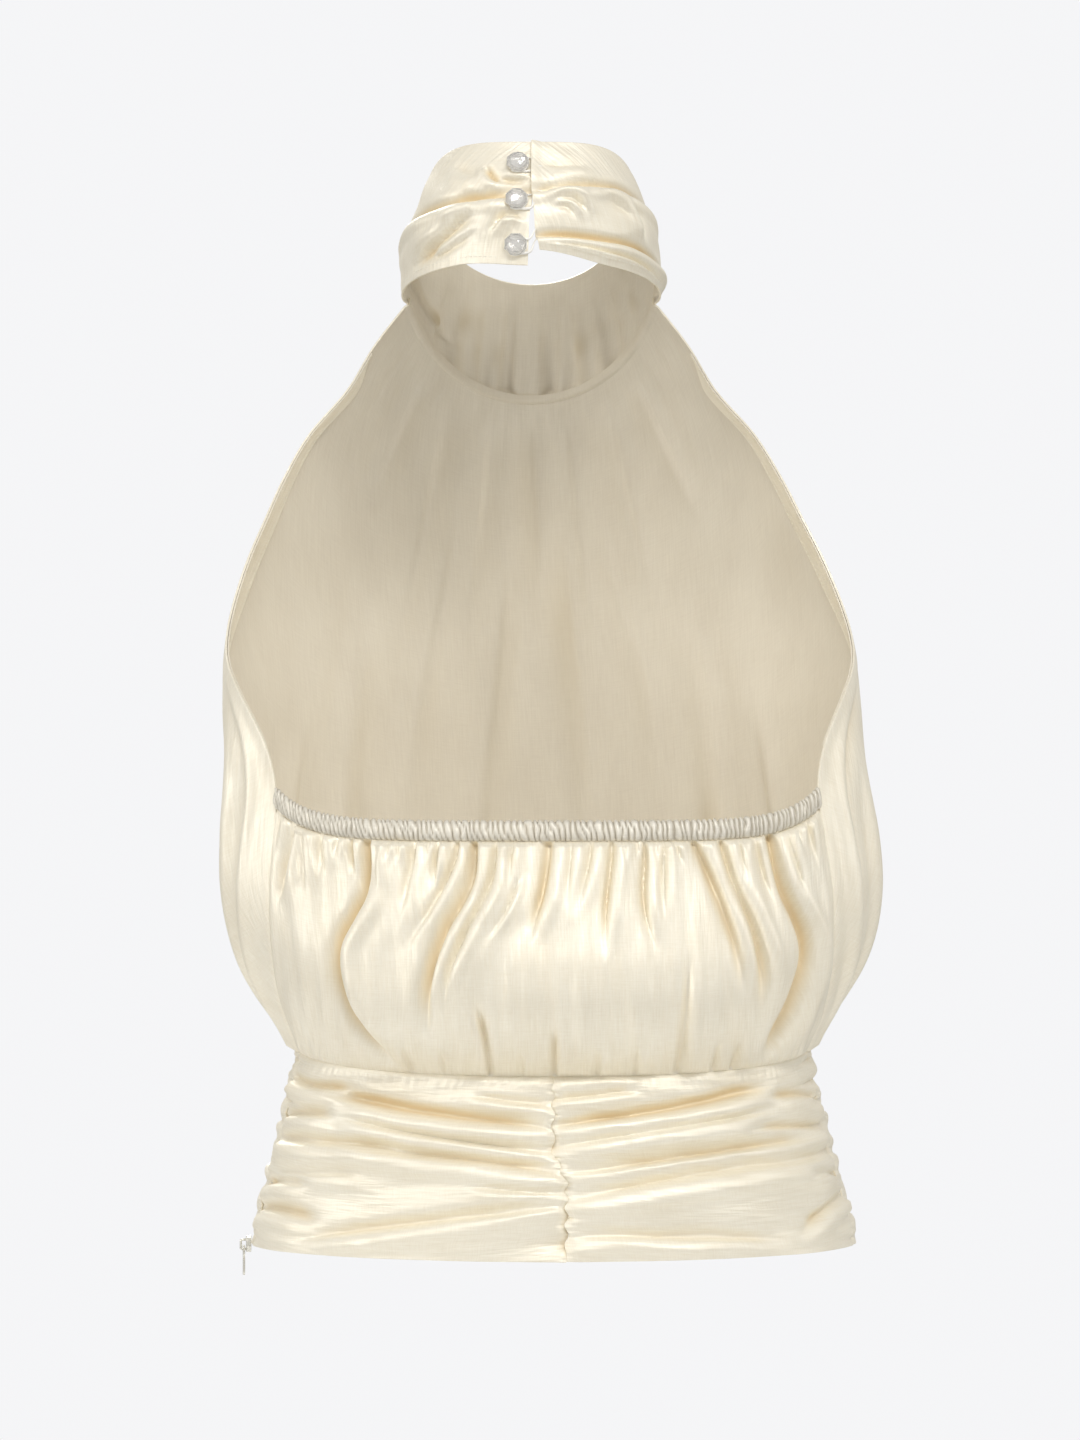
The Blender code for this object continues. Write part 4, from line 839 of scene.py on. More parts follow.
# %% Waistband creases
BAND_LEFT_CREASES = (  # three shares along, the height at each, depth in mm, width, roll
    (-0.06, 0.25, 0.74, 0.300, 0.250, 0.150, 5.2, 0.040, 1),
    (-0.04, 0.27, 0.66, 0.440, 0.365, 0.260, 2.8, 0.030, 1),
    (-0.06, 0.18, 0.62, 0.560, 0.490, 0.420, 4.4, 0.044, 1),
    (0.36, 0.70, 1.08, 0.415, 0.425, 0.460, 3.6, 0.038, 1),
    (-0.06, 0.28, 0.72, 0.690, 0.800, 0.940, 3.2, 0.040, 1),
    (0.60, 0.84, 1.06, 0.110, 0.140, 0.100, 3.0, 0.034, 1),
    (-0.02, 0.08, 0.24, 0.170, 0.150, 0.110, 1.8, 0.022, 1),
    (-0.02, 0.09, 0.24, 0.650, 0.640, 0.610, 1.4, 0.024, 1),
    (0.64, 0.86, 1.06, 0.270, 0.300, 0.340, 3.2, 0.034, 1),
    (0.68, 0.88, 1.06, 0.650, 0.660, 0.700, 3.2, 0.034, 1),
    (0.62, 0.84, 1.06, 0.830, 0.800, 0.820, 3.4, 0.034, 1),
    (0.50, 0.72, 0.96, 0.560, 0.590, 0.600, 1.8, 0.034, 1),
)
BAND_RIGHT_CREASES = (
    (-0.06, 0.17, 0.72, 0.300, 0.245, 0.100, 5.0, 0.040, 1),
    (-0.04, 0.24, 0.70, 0.410, 0.320, 0.230, 2.8, 0.034, 1),
    (-0.06, 0.38, 0.98, 0.560, 0.460, 0.400, 4.4, 0.044, 1),
    (-0.06, 0.36, 1.06, 0.700, 0.560, 0.510, 5.0, 0.048, 1),
    (0.50, 0.76, 1.06, 0.330, 0.350, 0.410, 2.6, 0.034, 1),
    (0.64, 0.82, 1.06, 0.900, 0.790, 0.730, 3.4, 0.034, 1),
    (-0.04, 0.20, 0.60, 0.870, 0.880, 0.920, 2.4, 0.036, 1),
    (-0.02, 0.08, 0.24, 0.130, 0.115, 0.080, 1.8, 0.022, 1),
    (0.66, 0.86, 1.06, 0.170, 0.200, 0.250, 3.0, 0.032, 1),
    (0.70, 0.88, 1.06, 0.600, 0.615, 0.660, 2.8, 0.030, 1),
)
BAND_FRONT_CREASES = (
    (0.00, 0.30, 0.72, 0.180, 0.240, 0.280, 4.0, 0.040, 1),
    (0.32, 0.70, 1.00, 0.340, 0.300, 0.200, 3.6, 0.038, 1),
    (0.00, 0.42, 1.00, 0.420, 0.520, 0.450, 4.4, 0.042, 1),
    (0.00, 0.35, 0.78, 0.620, 0.700, 0.740, 3.6, 0.038, 1),
    (0.28, 0.66, 1.00, 0.860, 0.800, 0.680, 3.6, 0.038, 1),
    (0.00, 0.12, 0.28, 0.300, 0.320, 0.340, 2.6, 0.028, 1),
    (0.72, 0.88, 1.00, 0.560, 0.580, 0.600, 2.6, 0.028, 1),
    (0.00, 0.10, 0.26, 0.820, 0.850, 0.860, 2.4, 0.028, 1),
    (0.74, 0.90, 1.00, 0.120, 0.100, 0.090, 2.4, 0.028, 1),
    (0.00, 0.16, 0.36, 0.520, 0.560, 0.600, 2.2, 0.028, 1),
    (0.62, 0.82, 1.00, 0.400, 0.390, 0.350, 2.2, 0.028, 1),
)
BAND_TOP_GATHERS = {1: (34, 0.8, 7.0, 45), 0: (60, 0.8, 7.0, 46)}  # on the back halves, on the front
BAND_SLACK = ((160, 32, 0.8, 0), (60, 11, 0.2, 10))
HEM_WAVE, HEM_WAVE_LENGTH = 0.6 * MM, 9 * MM
SEAM_WANDER = 6.3 * MM  # how far the centre back seam strays to the wearer's right
SEAM_ZIGZAG, ZIGZAG_TURNS = 1.0 * MM, 58  # and how far its stitches pull it to and fro
SIDE_PUCKERS = ((7.5, 4.2, 17, 5), (23, 1.3, 6, 6))  # count, depth and reach in mm, seed
BACK_PUCKERS = (5.2, 2.8, 9, 7)
SEAM_LUMPS = (33, 1.1, 2.6)
WANDER_FROM, WANDER_OVER = 0.40, 0.22  # shares of the height
END_CALM, END_HOLD = 5 * MM, 0.25  # this near a seam less of the creases is left, down to this share
BAND_TOP_CALM, HEM_CALM, HEM_HOLD = 0.04, 0.06, 0.45
SHIFT_TOP_CALM, SHIFT_HEM_CALM = 0.06, 0.08
# The waistband's painted crease shade is full at this depth.
BAND_SHADE_DEPTH = 4.6 * MM
BAND_DOWN = 118  # steps down


# %% Waistband
def puckers(height, distance, count, depth, reach, seed):
    """Rolls stacked up a ruched seam, that die out along the cloth."""
    chance = np.random.default_rng(seed)
    size = chance.uniform(0.5, 1.0, 60)
    phase = count * height + 0.3 * np.sin(7 * height + seed)
    which = np.clip(np.floor(phase).astype(int), 0, 59)
    roll = np.abs(np.sin(math.pi * phase)) ** 0.7
    return depth * MM * (roll * size[which] - 0.55) * np.exp(-((distance / (reach * MM)) ** 1.3))


def waistband(word, side, columns, creases, seed):
    """A back half (side 1 or -1, from the centre back) or the front (side 0)."""
    share = np.linspace(0, 1, steps(columns) + 1)[None, :]
    height = np.linspace(0, 1, steps(BAND_DOWN) + 1)[:, None]
    down = WAIST_SEAM + height * (HEM - WAIST_SEAM)
    edge, half = at_height(BAND, "edge", down), at_height(BAND, "half_width", down) * MM
    zigzag = SEAM_ZIGZAG * np.sin(ZIGZAG_TURNS * height + 1.6 * np.sin(9 * height))
    zigzag = zigzag * smooth_step(height / 0.1) * smooth_step((1 - height) / 0.1)
    wander = SEAM_WANDER * smooth_step((height - WANDER_FROM) / WANDER_OVER)
    stray = np.degrees((wander + zigzag) / half)
    first, last = (side * 180 + stray, side * edge) if side else (-edge, edge)
    angle = first + (last - first) * share
    outwards, upwards = creases_round(share, height, creases, HEM - WAIST_SEAM)
    if side > 0:
        angle, outwards, upwards = angle[:, ::-1], outwards[:, ::-1], upwards[:, ::-1]
    smooth = form_point(BAND, angle, down)
    u, _ = spread(smooth)
    from_low, from_high = from_ends(smooth)
    from_end = np.minimum(from_low, from_high)
    from_side, from_back = {1: (from_low, from_high), -1: (from_high, from_low), 0: (from_end, None)}[side]
    inner = smooth_step(from_end / END_CALM)
    outwards, upwards = outwards * (END_HOLD + (1 - END_HOLD) * inner), upwards * inner
    for row in SIDE_PUCKERS:
        outwards += puckers(height, from_side, *row)
    if side:
        outwards += puckers(height, from_back, *BACK_PUCKERS)
        outwards += puckers(height, from_back, *SEAM_LUMPS, 8 - side)
    for across, up, swell, more in BAND_SLACK:
        outwards += slack(u, down, across, up, swell, seed + more)
    outwards += gathers(share, down - WAIST_SEAM, *BAND_TOP_GATHERS[abs(side)])
    outwards += HEM_WAVE * np.sin(u / HEM_WAVE_LENGTH + side) * smooth_step((height - 0.8) / 0.2)
    at_hem = HEM_HOLD + (1 - HEM_HOLD) * smooth_step((1 - height) / HEM_CALM)
    outwards = outwards * smooth_step(height / BAND_TOP_CALM) * at_hem
    upwards = upwards * smooth_step(height / SHIFT_TOP_CALM) * smooth_step((1 - height) / SHIFT_HEM_CALM)
    outwards += seam_tuck(from_end, down - WAIST_SEAM)
    points = moved(smooth, outwards, 0.0, upwards)
    name = f"waistband_{word}_cloth"
    piece = cloth_piece(name, points, smooth, (satin, satin_back), warp_across=True, shade_full_depth=BAND_SHADE_DEPTH)
    settle(piece, f"waistband_{word}")


waistband("back_left", 1, 185, BAND_LEFT_CREASES, 41)
waistband("back_right", -1, 185, BAND_RIGHT_CREASES, 42)
waistband("front", 0, 240, BAND_FRONT_CREASES, 43)

# %% [markdown]
# ## The collar
# The collar is a wide band of cloth folded down to a mock neck, so it holds a few strong folds that
# run round it. Its two ends meet at the centre back. The wearer's left end, which carries the buttons,
# hangs a little lower, and the right end is drawn up to it, so the slit opens towards its foot.

# %% Collar form
COLLAR_FOOT = (63.5 * MM, 71.0 * MM, -7.0 * MM)  # half width, half depth, centre y
COLLAR_TOP = (51.5 * MM, 53.5 * MM, -6.5 * MM)
COLLAR_TOP_MEAN, COLLAR_TOP_TILT, COLLAR_TOP_LOBE = 27.2 * MM, 30.2 * MM, 6.3 * MM
COLLAR_SHOULDER = 11.0 * MM  # keeps the top edge level further round the back
NECK_CORNER = 77.0
NECK_CORNER_DOWN = 15.6 * MM
NECK_DIP = 45.0 * MM
COLLAR_BULGE = 3.8 * MM
OVERLAP = 1.3 * MM  # above the second button the left end runs under the right one
OVERLAP_LIFT, OVERLAP_REACH = 1.7 * MM, 6.0 * MM
COLLAR_HEIGHT = 57.5 * MM
BUTTON_ACROSS = 5.8 * MM
BUTTON_HEIGHTS = (0.810, 0.505, 0.155)
BUTTON_HOLD = 6.4 * MM  # each button holds the cloth flat about this far round it
LEFT_END_DROP, LEFT_END_REACH = 3.2 * MM, 34.0  # lower than the form at its end, fading by this angle
RIGHT_END_RISE, RIGHT_END_REACH = 4.4 * MM, 38.0
SLIT_UPS = (0.0, 0.15, 0.35, 0.6, 1.0)
SLIT_LEFT = (1.3, 1.0, 0.8, 0.5, 0.35)  # from the centre back to the left end's edge, in mm
SLIT_RIGHT = (3.4, 1.8, 1.1, 0.2, 0.15)
LEFT_END_CREASES = (  # start, middle, end in degrees from the centre back; heights are shares up
    (-16, 40, 112, 0.610, 0.500, 0.580, 3.9, 0.050, -1),
)
RIGHT_END_CREASES = (
    (-104, -34, 14, 0.610, 0.640, 0.470, 3.0, 0.044, -1),
    (-112, -40, 16, 0.140, 0.200, 0.070, 3.2, 0.036, -1),
    (-84, -30, 0, 0.040, 0.100, 0.055, 1.7, 0.019, -1),
)
SHORT_CREASES = (  # start, middle and end, each along and above in mm; depth, width, roll
    (60, 5, 36, 15, 20, 28, 3.2, 2.9, -1),
    (46, 6, 33, 9, 20, 17, 1.5, 1.8, -1),
    (20, 47, 17.6, 41, 11.5, 38, 2.4, 1.9, 1),
    (14, 40.5, 8, 39.5, 0.5, 39.5, 2.0, 1.5, -1),
    (15, 18, 8.5, 23.0, 2, 19.5, 2.2, 1.5, 1),
    (16.5, 12, 13.5, 19, 9, 22.5, 1.6, 1.3, 1),
    (40, 50, 30, 44, 22, 41, 0.9, 2.6, 1),
    (-6, 25, -17, 28.5, -23, 20, 2.2, 1.8, -1),
    (-9, 21, -14.5, 24, -18.5, 17, 1.5, 1.5, -1),
    (-42, 37, -51, 27, -55, 17, 2.0, 2.2, 1),
    (-28, 33, -38, 30, -47, 24, 1.1, 2.4, -1),
    (-4, 46, -16, 45, -30, 47, 0.7, 2.4, 1),
)
FRONT_COLLAR_CREASES = ((80, 116, 148, 0.520, 0.380, 0.260, 1.4, 0.060, -1),)
COLLAR_SLACK = (45, 22, 0.35, 52)
# The collar's painted crease shade is full at this depth.
COLLAR_SHADE_DEPTH = 2.5 * MM
NECK_PLEATS = (  # turn at the foot and at the top, depth in mm, width in degrees, roll
    (128, 134, 1.5, 3.4, 1),
    (141, 147, 2.1, 3.8, -1),
    (153, 156, 1.6, 3.0, 1),
    (163, 167, 2.4, 3.6, 1),
    (174, 173, 1.8, 2.8, -1),
    (183, 182, 2.3, 3.8, 1),
    (193, 196, 1.7, 3.0, -1),
    (204, 201, 2.5, 4.0, -1),
    (216, 210, 1.7, 3.2, 1),
    (228, 223, 2.0, 3.6, -1),
    (240, 234, 1.4, 3.2, 1),
)


def collar_form(turn, up):
    """The collar without folds: turn in degrees from the centre back, up from 0 to 1."""
    turn, up = np.broadcast_arrays(np.asarray(turn, float), np.asarray(up, float))
    turn = (turn + 180) % 360 - 180
    sin, cos, away = np.sin(np.radians(turn)), np.cos(np.radians(turn)), np.abs(turn)
    before = NECK_CORNER_DOWN * (1 - cos) / (1 + math.cos(math.radians(NECK_CORNER)))
    foot = -np.minimum(before, NECK_CORNER_DOWN) - NECK_DIP * dip_share((180 - away) / NECK_CORNER)
    drop = -LEFT_END_DROP * smooth_step(1 - away / LEFT_END_REACH)
    rise = RIGHT_END_RISE * smooth_step(1 - away / RIGHT_END_REACH)
    foot = foot + np.where(turn > 0, drop, rise)
    top = COLLAR_TOP_MEAN + COLLAR_TOP_TILT * cos
    top = top + (COLLAR_TOP_LOBE + COLLAR_SHOULDER * np.maximum(cos, 0)) * sin**2
    width, depth, middle = (low + (high - low) * up for low, high in zip(COLLAR_FOOT, COLLAR_TOP))
    swell = COLLAR_BULGE * np.sin(math.pi * up)
    x, y = (width + swell) * sin, middle + (depth + swell) * cos
    return np.stack([x, y, foot + (top - foot) * up], axis=-1)


# %% Collar cloth
OVERLAP_FROM, OVERLAP_FULL = 0.38, 0.54  # shares up the collar
FOOT_CALM, TOP_CALM = 0.09, 0.07
PLEAT_TOP, PLEAT_FADE = 1.02, 0.7
BUTTON_PRESS = 0.9
COLLAR_GRID = (330, 88)


def collar_face(turn, up):
    """The collar's outer face with its folds, and the same form without them."""
    smooth = collar_form(turn, up)
    turn, up = np.broadcast_arrays(turn, up)
    turn, whole_turn = (turn + 180) % 360 - 180, turn % 360
    along, above = np.radians(turn) * COLLAR_TOP[0], up * COLLAR_HEIGHT
    left = creases_round(turn, up, LEFT_END_CREASES, COLLAR_HEIGHT)
    right = creases_round(turn, up, RIGHT_END_CREASES, COLLAR_HEIGHT)
    front = creases_round(whole_turn, up, FRONT_COLLAR_CREASES, COLLAR_HEIGHT)
    outwards = np.where(turn > 0, left[0], right[0]) + front[0]
    upwards = -np.where(turn > 0, left[1], right[1]) - front[1]
    outwards = outwards + creases_curved(along, above, SHORT_CREASES)
    for at_foot, at_top, depth, width, roll in NECK_PLEATS:
        away = (whole_turn - at_foot - (at_top - at_foot) * up) / width
        fade = smooth_step((PLEAT_TOP - up) / PLEAT_FADE)
        outwards = outwards + depth * MM * fade * crease_section(away, roll)
    for button_up in BUTTON_HEIGHTS:
        far = np.hypot(along - BUTTON_ACROSS, above - button_up * COLLAR_HEIGHT)
        outwards = outwards * (1 - BUTTON_PRESS * hump(far, 0, BUTTON_HOLD))
    outwards = outwards + slack(np.radians(turn) * 0.06, up * 0.05, *COLLAR_SLACK)
    edges = smooth_step(up / FOOT_CALM) * smooth_step((1 - up) / TOP_CALM)
    over_neck = smooth_step((1.08 - (180 - np.abs(turn)) / NECK_CORNER) / 0.1)
    outwards = outwards * edges + seam_tuck(above) * over_neck
    upper = smooth_step((up - OVERLAP_FROM) / (OVERLAP_FULL - OVERLAP_FROM))
    near = upper * smooth_step(1 - np.abs(along) / OVERLAP_REACH)
    points = smooth + outward(smooth) * (outwards + OVERLAP_LIFT * near * (along <= 0))[..., None]
    points[..., 0] -= OVERLAP * near * (along > 0)
    points[..., 2] += upwards * edges
    return points, smooth


def slit(gaps, up):
    """Degrees from the centre back to one end's edge."""
    return np.degrees(smooth_curve(up, SLIT_UPS, gaps) * MM / COLLAR_TOP[0])


up = np.linspace(1, 0, steps(COLLAR_GRID[1]) + 1)[:, None]
share = np.linspace(0, 1, steps(COLLAR_GRID[0]) + 1)[None, :]
right_end, left_end = 360 - slit(SLIT_RIGHT, up), slit(SLIT_LEFT, up)
points, smooth = collar_face(right_end + (left_end - right_end) * share, up)
collar = cloth_piece("collar_cloth", points, smooth, (satin, satin_back), shade_full_depth=COLLAR_SHADE_DEPTH)
settle(collar, "collar")

# %% [markdown]
# ## The elastic casing
# A narrow channel on the low back's top edge holds an elastic, which crowds the cloth into about a
# hundred fine puckers. That is a rule that repeats along a path, so Geometry Nodes make it: a smooth
# strip goes in, and each point moves along its normal by a wave of its distance along the strip. The
# wave leans with the height, and noise from a fixed seed makes each pucker a little different.

# %% A node tree that ruches a strip
def new_tree(name, **inputs):
    """A geometry tree with a geometry input and these; one without a number takes a material."""
    tree = bpy.data.node_groups.new(name, "GeometryNodeTree")
    tree.interface.new_socket("Geometry", in_out="INPUT", socket_type="NodeSocketGeometry")
    for label, value in inputs.items():
        kind = "NodeSocketMaterial" if value is None else "NodeSocketFloat"
        socket = tree.interface.new_socket(label, in_out="INPUT", socket_type=kind)
        if value is not None:
            socket.default_value = value
    tree.interface.new_socket("Geometry", in_out="OUTPUT", socket_type="NodeSocketGeometry")
    return tree, tree.nodes.new("NodeGroupInput").outputs


def finish_tree(tree, shape, material):
    """Makes copies real, gives them their material and hands them out."""
    real = add_node(tree, "GeometryNodeRealizeInstances", shape)
    soft = add_node(tree, "GeometryNodeSetShadeSmooth", real.outputs[0])
    dress = add_node(tree, "GeometryNodeSetMaterial", Geometry=soft.outputs[0], Material=material)
    add_node(tree, "NodeGroupOutput", dress.outputs[0])


def ruching_tree():
    """Raises rolls between sharp valleys along the strip's attribute named run, and marks the valleys for
    painted shade.
    """
    tree, given = new_tree(
        "ruching", Puckers=100.0, Height=0.001, Slant=0.5, Unevenness=0.5, Seed=0.0, Cloth=None
    )

    def calc(operation, *values):
        return add_node(tree, "ShaderNodeMath", *values, settings={"operation": operation}).outputs[0]

    def attribute(name):
        kind = {"data_type": "FLOAT"}
        return add_node(tree, "GeometryNodeInputNamedAttribute", Name=name, settings=kind).outputs[0]

    run, rise, face = attribute("run"), attribute("rise"), attribute("face")
    count = calc("MULTIPLY", run, given["Puckers"])
    along, above = calc("MULTIPLY", count, 0.37), calc("ADD", rise, given["Seed"])
    where = add_node(tree, "ShaderNodeCombineXYZ", along, above).outputs[0]
    flat = {"noise_dimensions": "2D"}
    noise = add_node(tree, "ShaderNodeTexNoise", Vector=where, Scale=1.0, Detail=1.0, settings=flat)
    uneven = calc("MULTIPLY", calc("SUBTRACT", noise.outputs[0], 0.5), 4.0)
    less = calc("SUBTRACT", 1.0, calc("MULTIPLY", run, 1.3))
    slanted = calc("MULTIPLY", calc("MULTIPLY", rise, given["Slant"]), less)
    phase = calc("ADD", calc("ADD", count, calc("MULTIPLY", uneven, given["Unevenness"])), slanted)
    wave = calc("ABSOLUTE", calc("SINE", calc("MULTIPLY", phase, math.pi)))
    roll = calc("SUBTRACT", calc("POWER", wave, 0.7), 0.45)
    lift = calc("MULTIPLY", calc("MULTIPLY", roll, given["Height"]), face)
    normal = add_node(tree, "GeometryNodeInputNormal").outputs[0]
    offset = add_node(tree, "ShaderNodeVectorMath", normal, Scale=lift, settings={"operation": "SCALE"})
    # Painted shade: how deep each point lies in a pucker's valley, stored for the satin to darken it there.
    deep = calc("MULTIPLY", calc("POWER", calc("SUBTRACT", 1.0, wave), 2.0), face)
    marked = add_node(
        tree, "GeometryNodeStoreNamedAttribute", given["Geometry"], Name="crease_shade", Value=deep,
        settings={"data_type": "FLOAT"}
    )
    raised = add_node(tree, "GeometryNodeSetPosition", marked.outputs[0], Offset=offset.outputs[0])
    finish_tree(tree, raised.outputs[0], given["Cloth"])
    return tree


def evaluated_mesh(item):
    bpy.context.view_layer.update()
    return bpy.data.meshes.new_from_object(item.evaluated_get(bpy.context.evaluated_depsgraph_get()))


def through_tree(item, tree, **values):
    """Runs an object through a geometry tree and keeps the plain mesh that comes out."""
    numbers = {socket.name: socket.identifier for socket in tree.interface.items_tree}
    modifier = item.modifiers.new(tree.name, "NODES")
    modifier.node_group = tree
    for name, value in values.items():
        modifier[numbers[name]] = value
    mesh = evaluated_mesh(item)
    item.modifiers.remove(modifier)
    item.data = mesh
    print(item.name, "faces:", len(mesh.polygons))
    return item


ruching = ruching_tree()
print("ruching inputs:", [item.name for item in ruching.interface.items_tree if item.in_out == "INPUT"])

# %% Elastic casing
CASING_SECTION = (  # rise from the foot (0) to the top (1), way out in mm, share of the puckers
    (-0.02, -1.6, 0),
    (0.00, -0.6, 0.3),
    (0.07, 0.2, 0.8),
    (0.22, 0.7, 1.0),
    (0.42, 0.9, 1.0),
    (0.62, 0.9, 1.0),
    (0.82, 0.6, 1.0),
    (0.96, 0.1, 1.0),
    (1.03, -0.7, 0.9),
    (0.97, -1.5, 0.6),
    (0.80, -2.0, 0.5),
    (0.50, -2.2, 0.4),
    (0.20, -2.1, 0.3),
    (0.02, -1.8, 0),
)
CASING_PUCKERS = 104
CASING_END = 0.15  # degrees from the side seam


def ring_strip(name, section, columns):
    """A closed strip round the back through a loop of section rows."""
    share = np.linspace(0, 1, columns + 1)
    start = at_height(BODY, "edge", SIDE_SEAM_TOP) + CASING_END
    angle = start + (360 - 2 * start) * share
    rings = []
    for rise, stand, _ in section:
        line = form_point(BODY, angle, SIDE_SEAM_TOP + CASING_HEIGHT * (1 - rise))
        pair = np.stack([line, line - np.array([0, 0, 1 * MM])])
        rings.append(line + level_out(pair)[0] * stand * MM)
    points = np.stack(rings)
    index = np.arange(points[..., 0].size).reshape(len(section), columns + 1)
    after = np.roll(index, -1, axis=0)
    faces = np.stack([index[:, 1:], after[:, 1:], after[:, :-1], index[:, :-1]], axis=-1)
    caps = [index[:, 0].tolist(), index[::-1, -1].tolist()]
    mesh = bpy.data.meshes.new(name)
    mesh.from_pydata(points.reshape(-1, 3), [], faces.reshape(-1, 4).tolist() + caps)
    mesh.shade_smooth()
    rise, _, face = np.repeat(np.transpose(section), columns + 1, axis=1)
    for label, values in (("run", np.tile(share, len(section))), ("rise", rise), ("face", face)):
        mesh.attributes.new(label, "FLOAT", "POINT").data.foreach_set("value", values)
    corners = np.zeros(len(mesh.loops), np.int32)
    mesh.loops.foreach_get("vertex_index", corners)
    uv = np.stack(spread(points), axis=-1).reshape(-1, 2)[corners]
    mesh.uv_layers.new(name="cloth").data.foreach_set("uv", uv.ravel())
    return new_object(name, mesh)


casing = ring_strip("elastic_casing_cloth", CASING_SECTION, steps(CASING_PUCKERS * 10))
through_tree(
    casing, ruching, Puckers=float(CASING_PUCKERS), Height=1.5 * MM, Slant=1.7, Unevenness=0.42,
    Seed=3.0, Cloth=shaded_ruched_satin
)
settle(casing, "elastic_casing")

# %% [markdown]
# ## The crystal buttons
# A crystal button is cut in flat facets: a small table on top, a ring of facets round it, and a
# girdle, with a foiled back that throws the light out again. The rings are turned polygons of
# different sizes, joined by triangles, and flat shading keeps every facet crisp. The facets of the
# back are foiled and the rest is clear.

# %% Crystal and foil
crystal = plain_material("clear_crystal", (1.0, 0.985, 0.955), 0.02, Transmission_Weight=0.76, IOR=1.56)
foil = plain_material("button_foil", (0.99, 0.975, 0.945), 0.20, Metallic=0.85)
FACETS = 8
BUTTON_RINGS = ((1.6, 5.0), (3.3, 4.5), (4.8, 3.6), (5.7, 2.4), (4.5, 1.3), (2.2, 0.2))  # radius, height
FOIL_FROM = 3  # the facets from this ring down are foiled
STEP_UP, STEP_ROUND = 0.02, 0.5  # for the normals; a share of the height, and degrees


def hard_mesh(name, corners, faces, place, *materials):
    """A mesh with flat faces, carried to its place."""
    mesh = bpy.data.meshes.new(name)
    mesh.from_pydata([place @ Vector(corner) for corner in corners], [], faces)
    for material in materials:
        mesh.materials.append(material)
    return mesh


def button_mesh(name, place):
    """Rings of corners, each turned by half a facet more, joined by triangles and capped."""
    corners, faces = [], [range(FACETS)]
    for number, (radius, height) in enumerate(BUTTON_RINGS):
        turns = [2 * math.pi * (k + number / 2) / FACETS for k in range(FACETS)]
        corners += [(radius * MM * math.cos(t), radius * MM * math.sin(t), height * MM) for t in turns]
    last = len(corners) - FACETS
    for k in range(last):
        after = k + 1 if (k + 1) % FACETS else k + 1 - FACETS
        faces += [(k, k + FACETS, after), (k + FACETS, after + FACETS, after)]
    faces.append(range(len(corners) - 1, last - 1, -1))
    mesh = hard_mesh(name, corners, faces, place, crystal, foil)
    for face in mesh.polygons[1 + 2 * FACETS * FOIL_FROM:]:
        face.material_index = 1
    return mesh


def placed(x, y, z, origin):
    """The matrix that carries the local axes to x, y and z."""
    return Matrix.Translation(origin) @ Matrix((x, y, z)).transposed().to_4x4()


def collar_line(turns, up):
    """Points on the collar's face at one height, their normals and their upward directions."""
    grid, _ = collar_face(np.array([turns]), np.array([[up + STEP_UP], [up], [up - STEP_UP]]))
    return grid[1], outward(grid)[1], grid[0] - grid[2]


def collar_spot(across, up):
    """The same for one place beside the slit."""
    turn = math.degrees(across / COLLAR_TOP[0])
    return [Vector(row[1]) for row in collar_line((turn + STEP_ROUND, turn, turn - STEP_ROUND), up)]


for number, up in enumerate(BUTTON_HEIGHTS, start=1):
    name = f"crystal_button_{number}"
    point, normal, rise = collar_spot(BUTTON_ACROSS, up)
    aside = rise.cross(normal).normalized()
    button = new_object(name, button_mesh(name, placed(aside, normal.cross(aside), normal, point)))
    seat(button, f"button_{number}")
print("facets on a button:", len(button.data.polygons))

# %% [markdown]
# ## The button loops
# Each button is held by a thin elastic loop that is sewn under the collar's other end. A poly curve
# follows the collar's own face, lifted by the cord's radius, and a bevel gives it its thickness. The
# loop's material twists fine threads round it.

# %% Cord loops
LOOP_RADIUS = 0.70 * MM
LOOP_REACH = 4.9 * MM  # round the button's girdle
LOOP_LIFT = 1.5 * MM
LOOP_STRAND = ((-6.0, 0.45, -0.5), (-2.6, 0.50, -0.5), (0.6, 0.62, 0.75))  # across, apart, lift
LOOP_BOW = np.radians(np.linspace(-115, 115, 13))
LOOP_STEPS = 64
LOOP_THIN = 12  # steps inside the folded end, where the cord is sewn flat


def cord_material():
    colour = (0.93, 0.91, 0.86)
    material, tree, shader = new_material("loop_cord", Base_Color=colour, Roughness=0.45, Sheen_Weight=0.3)
    place = add_node(tree, "ShaderNodeTexCoord").outputs["Object"]
    slanting = {"bands_direction": "DIAGONAL"}
    twist = add_node(tree, "ShaderNodeTexWave", place, Scale=420.0, Distortion=0.6, settings=slanting)
    feed(tree, shader, Normal=bumped(tree, twist.outputs["Fac"], 0.12, 0.7))
    return material


def add_line(curve, route, closed=False):
    """Adds a line of straight steps to a curve and gives back its corners."""
    line = curve.splines.new("POLY")
    line.points.add(len(route) - 1)
    line.use_cyclic_u = closed
    for corner, place in zip(line.points, route):
        corner.co = (*place, 1)
    return line.points


def mesh_of_curve(curve, material, place=Matrix()):
    """The plain mesh of a curve, with the corners that fall together joined."""
    holder = new_object(curve.name, curve)
    mesh = evaluated_mesh(holder)
    bpy.data.objects.remove(holder)
    shape = bmesh.new()
    shape.from_mesh(mesh)
    bmesh.ops.remove_doubles(shape, verts=shape.verts, dist=0.001 * MM)
    shape.transform(place)
    shape.to_mesh(mesh)
    shape.free()
    mesh.materials.clear()
    mesh.materials.append(material)
    return mesh


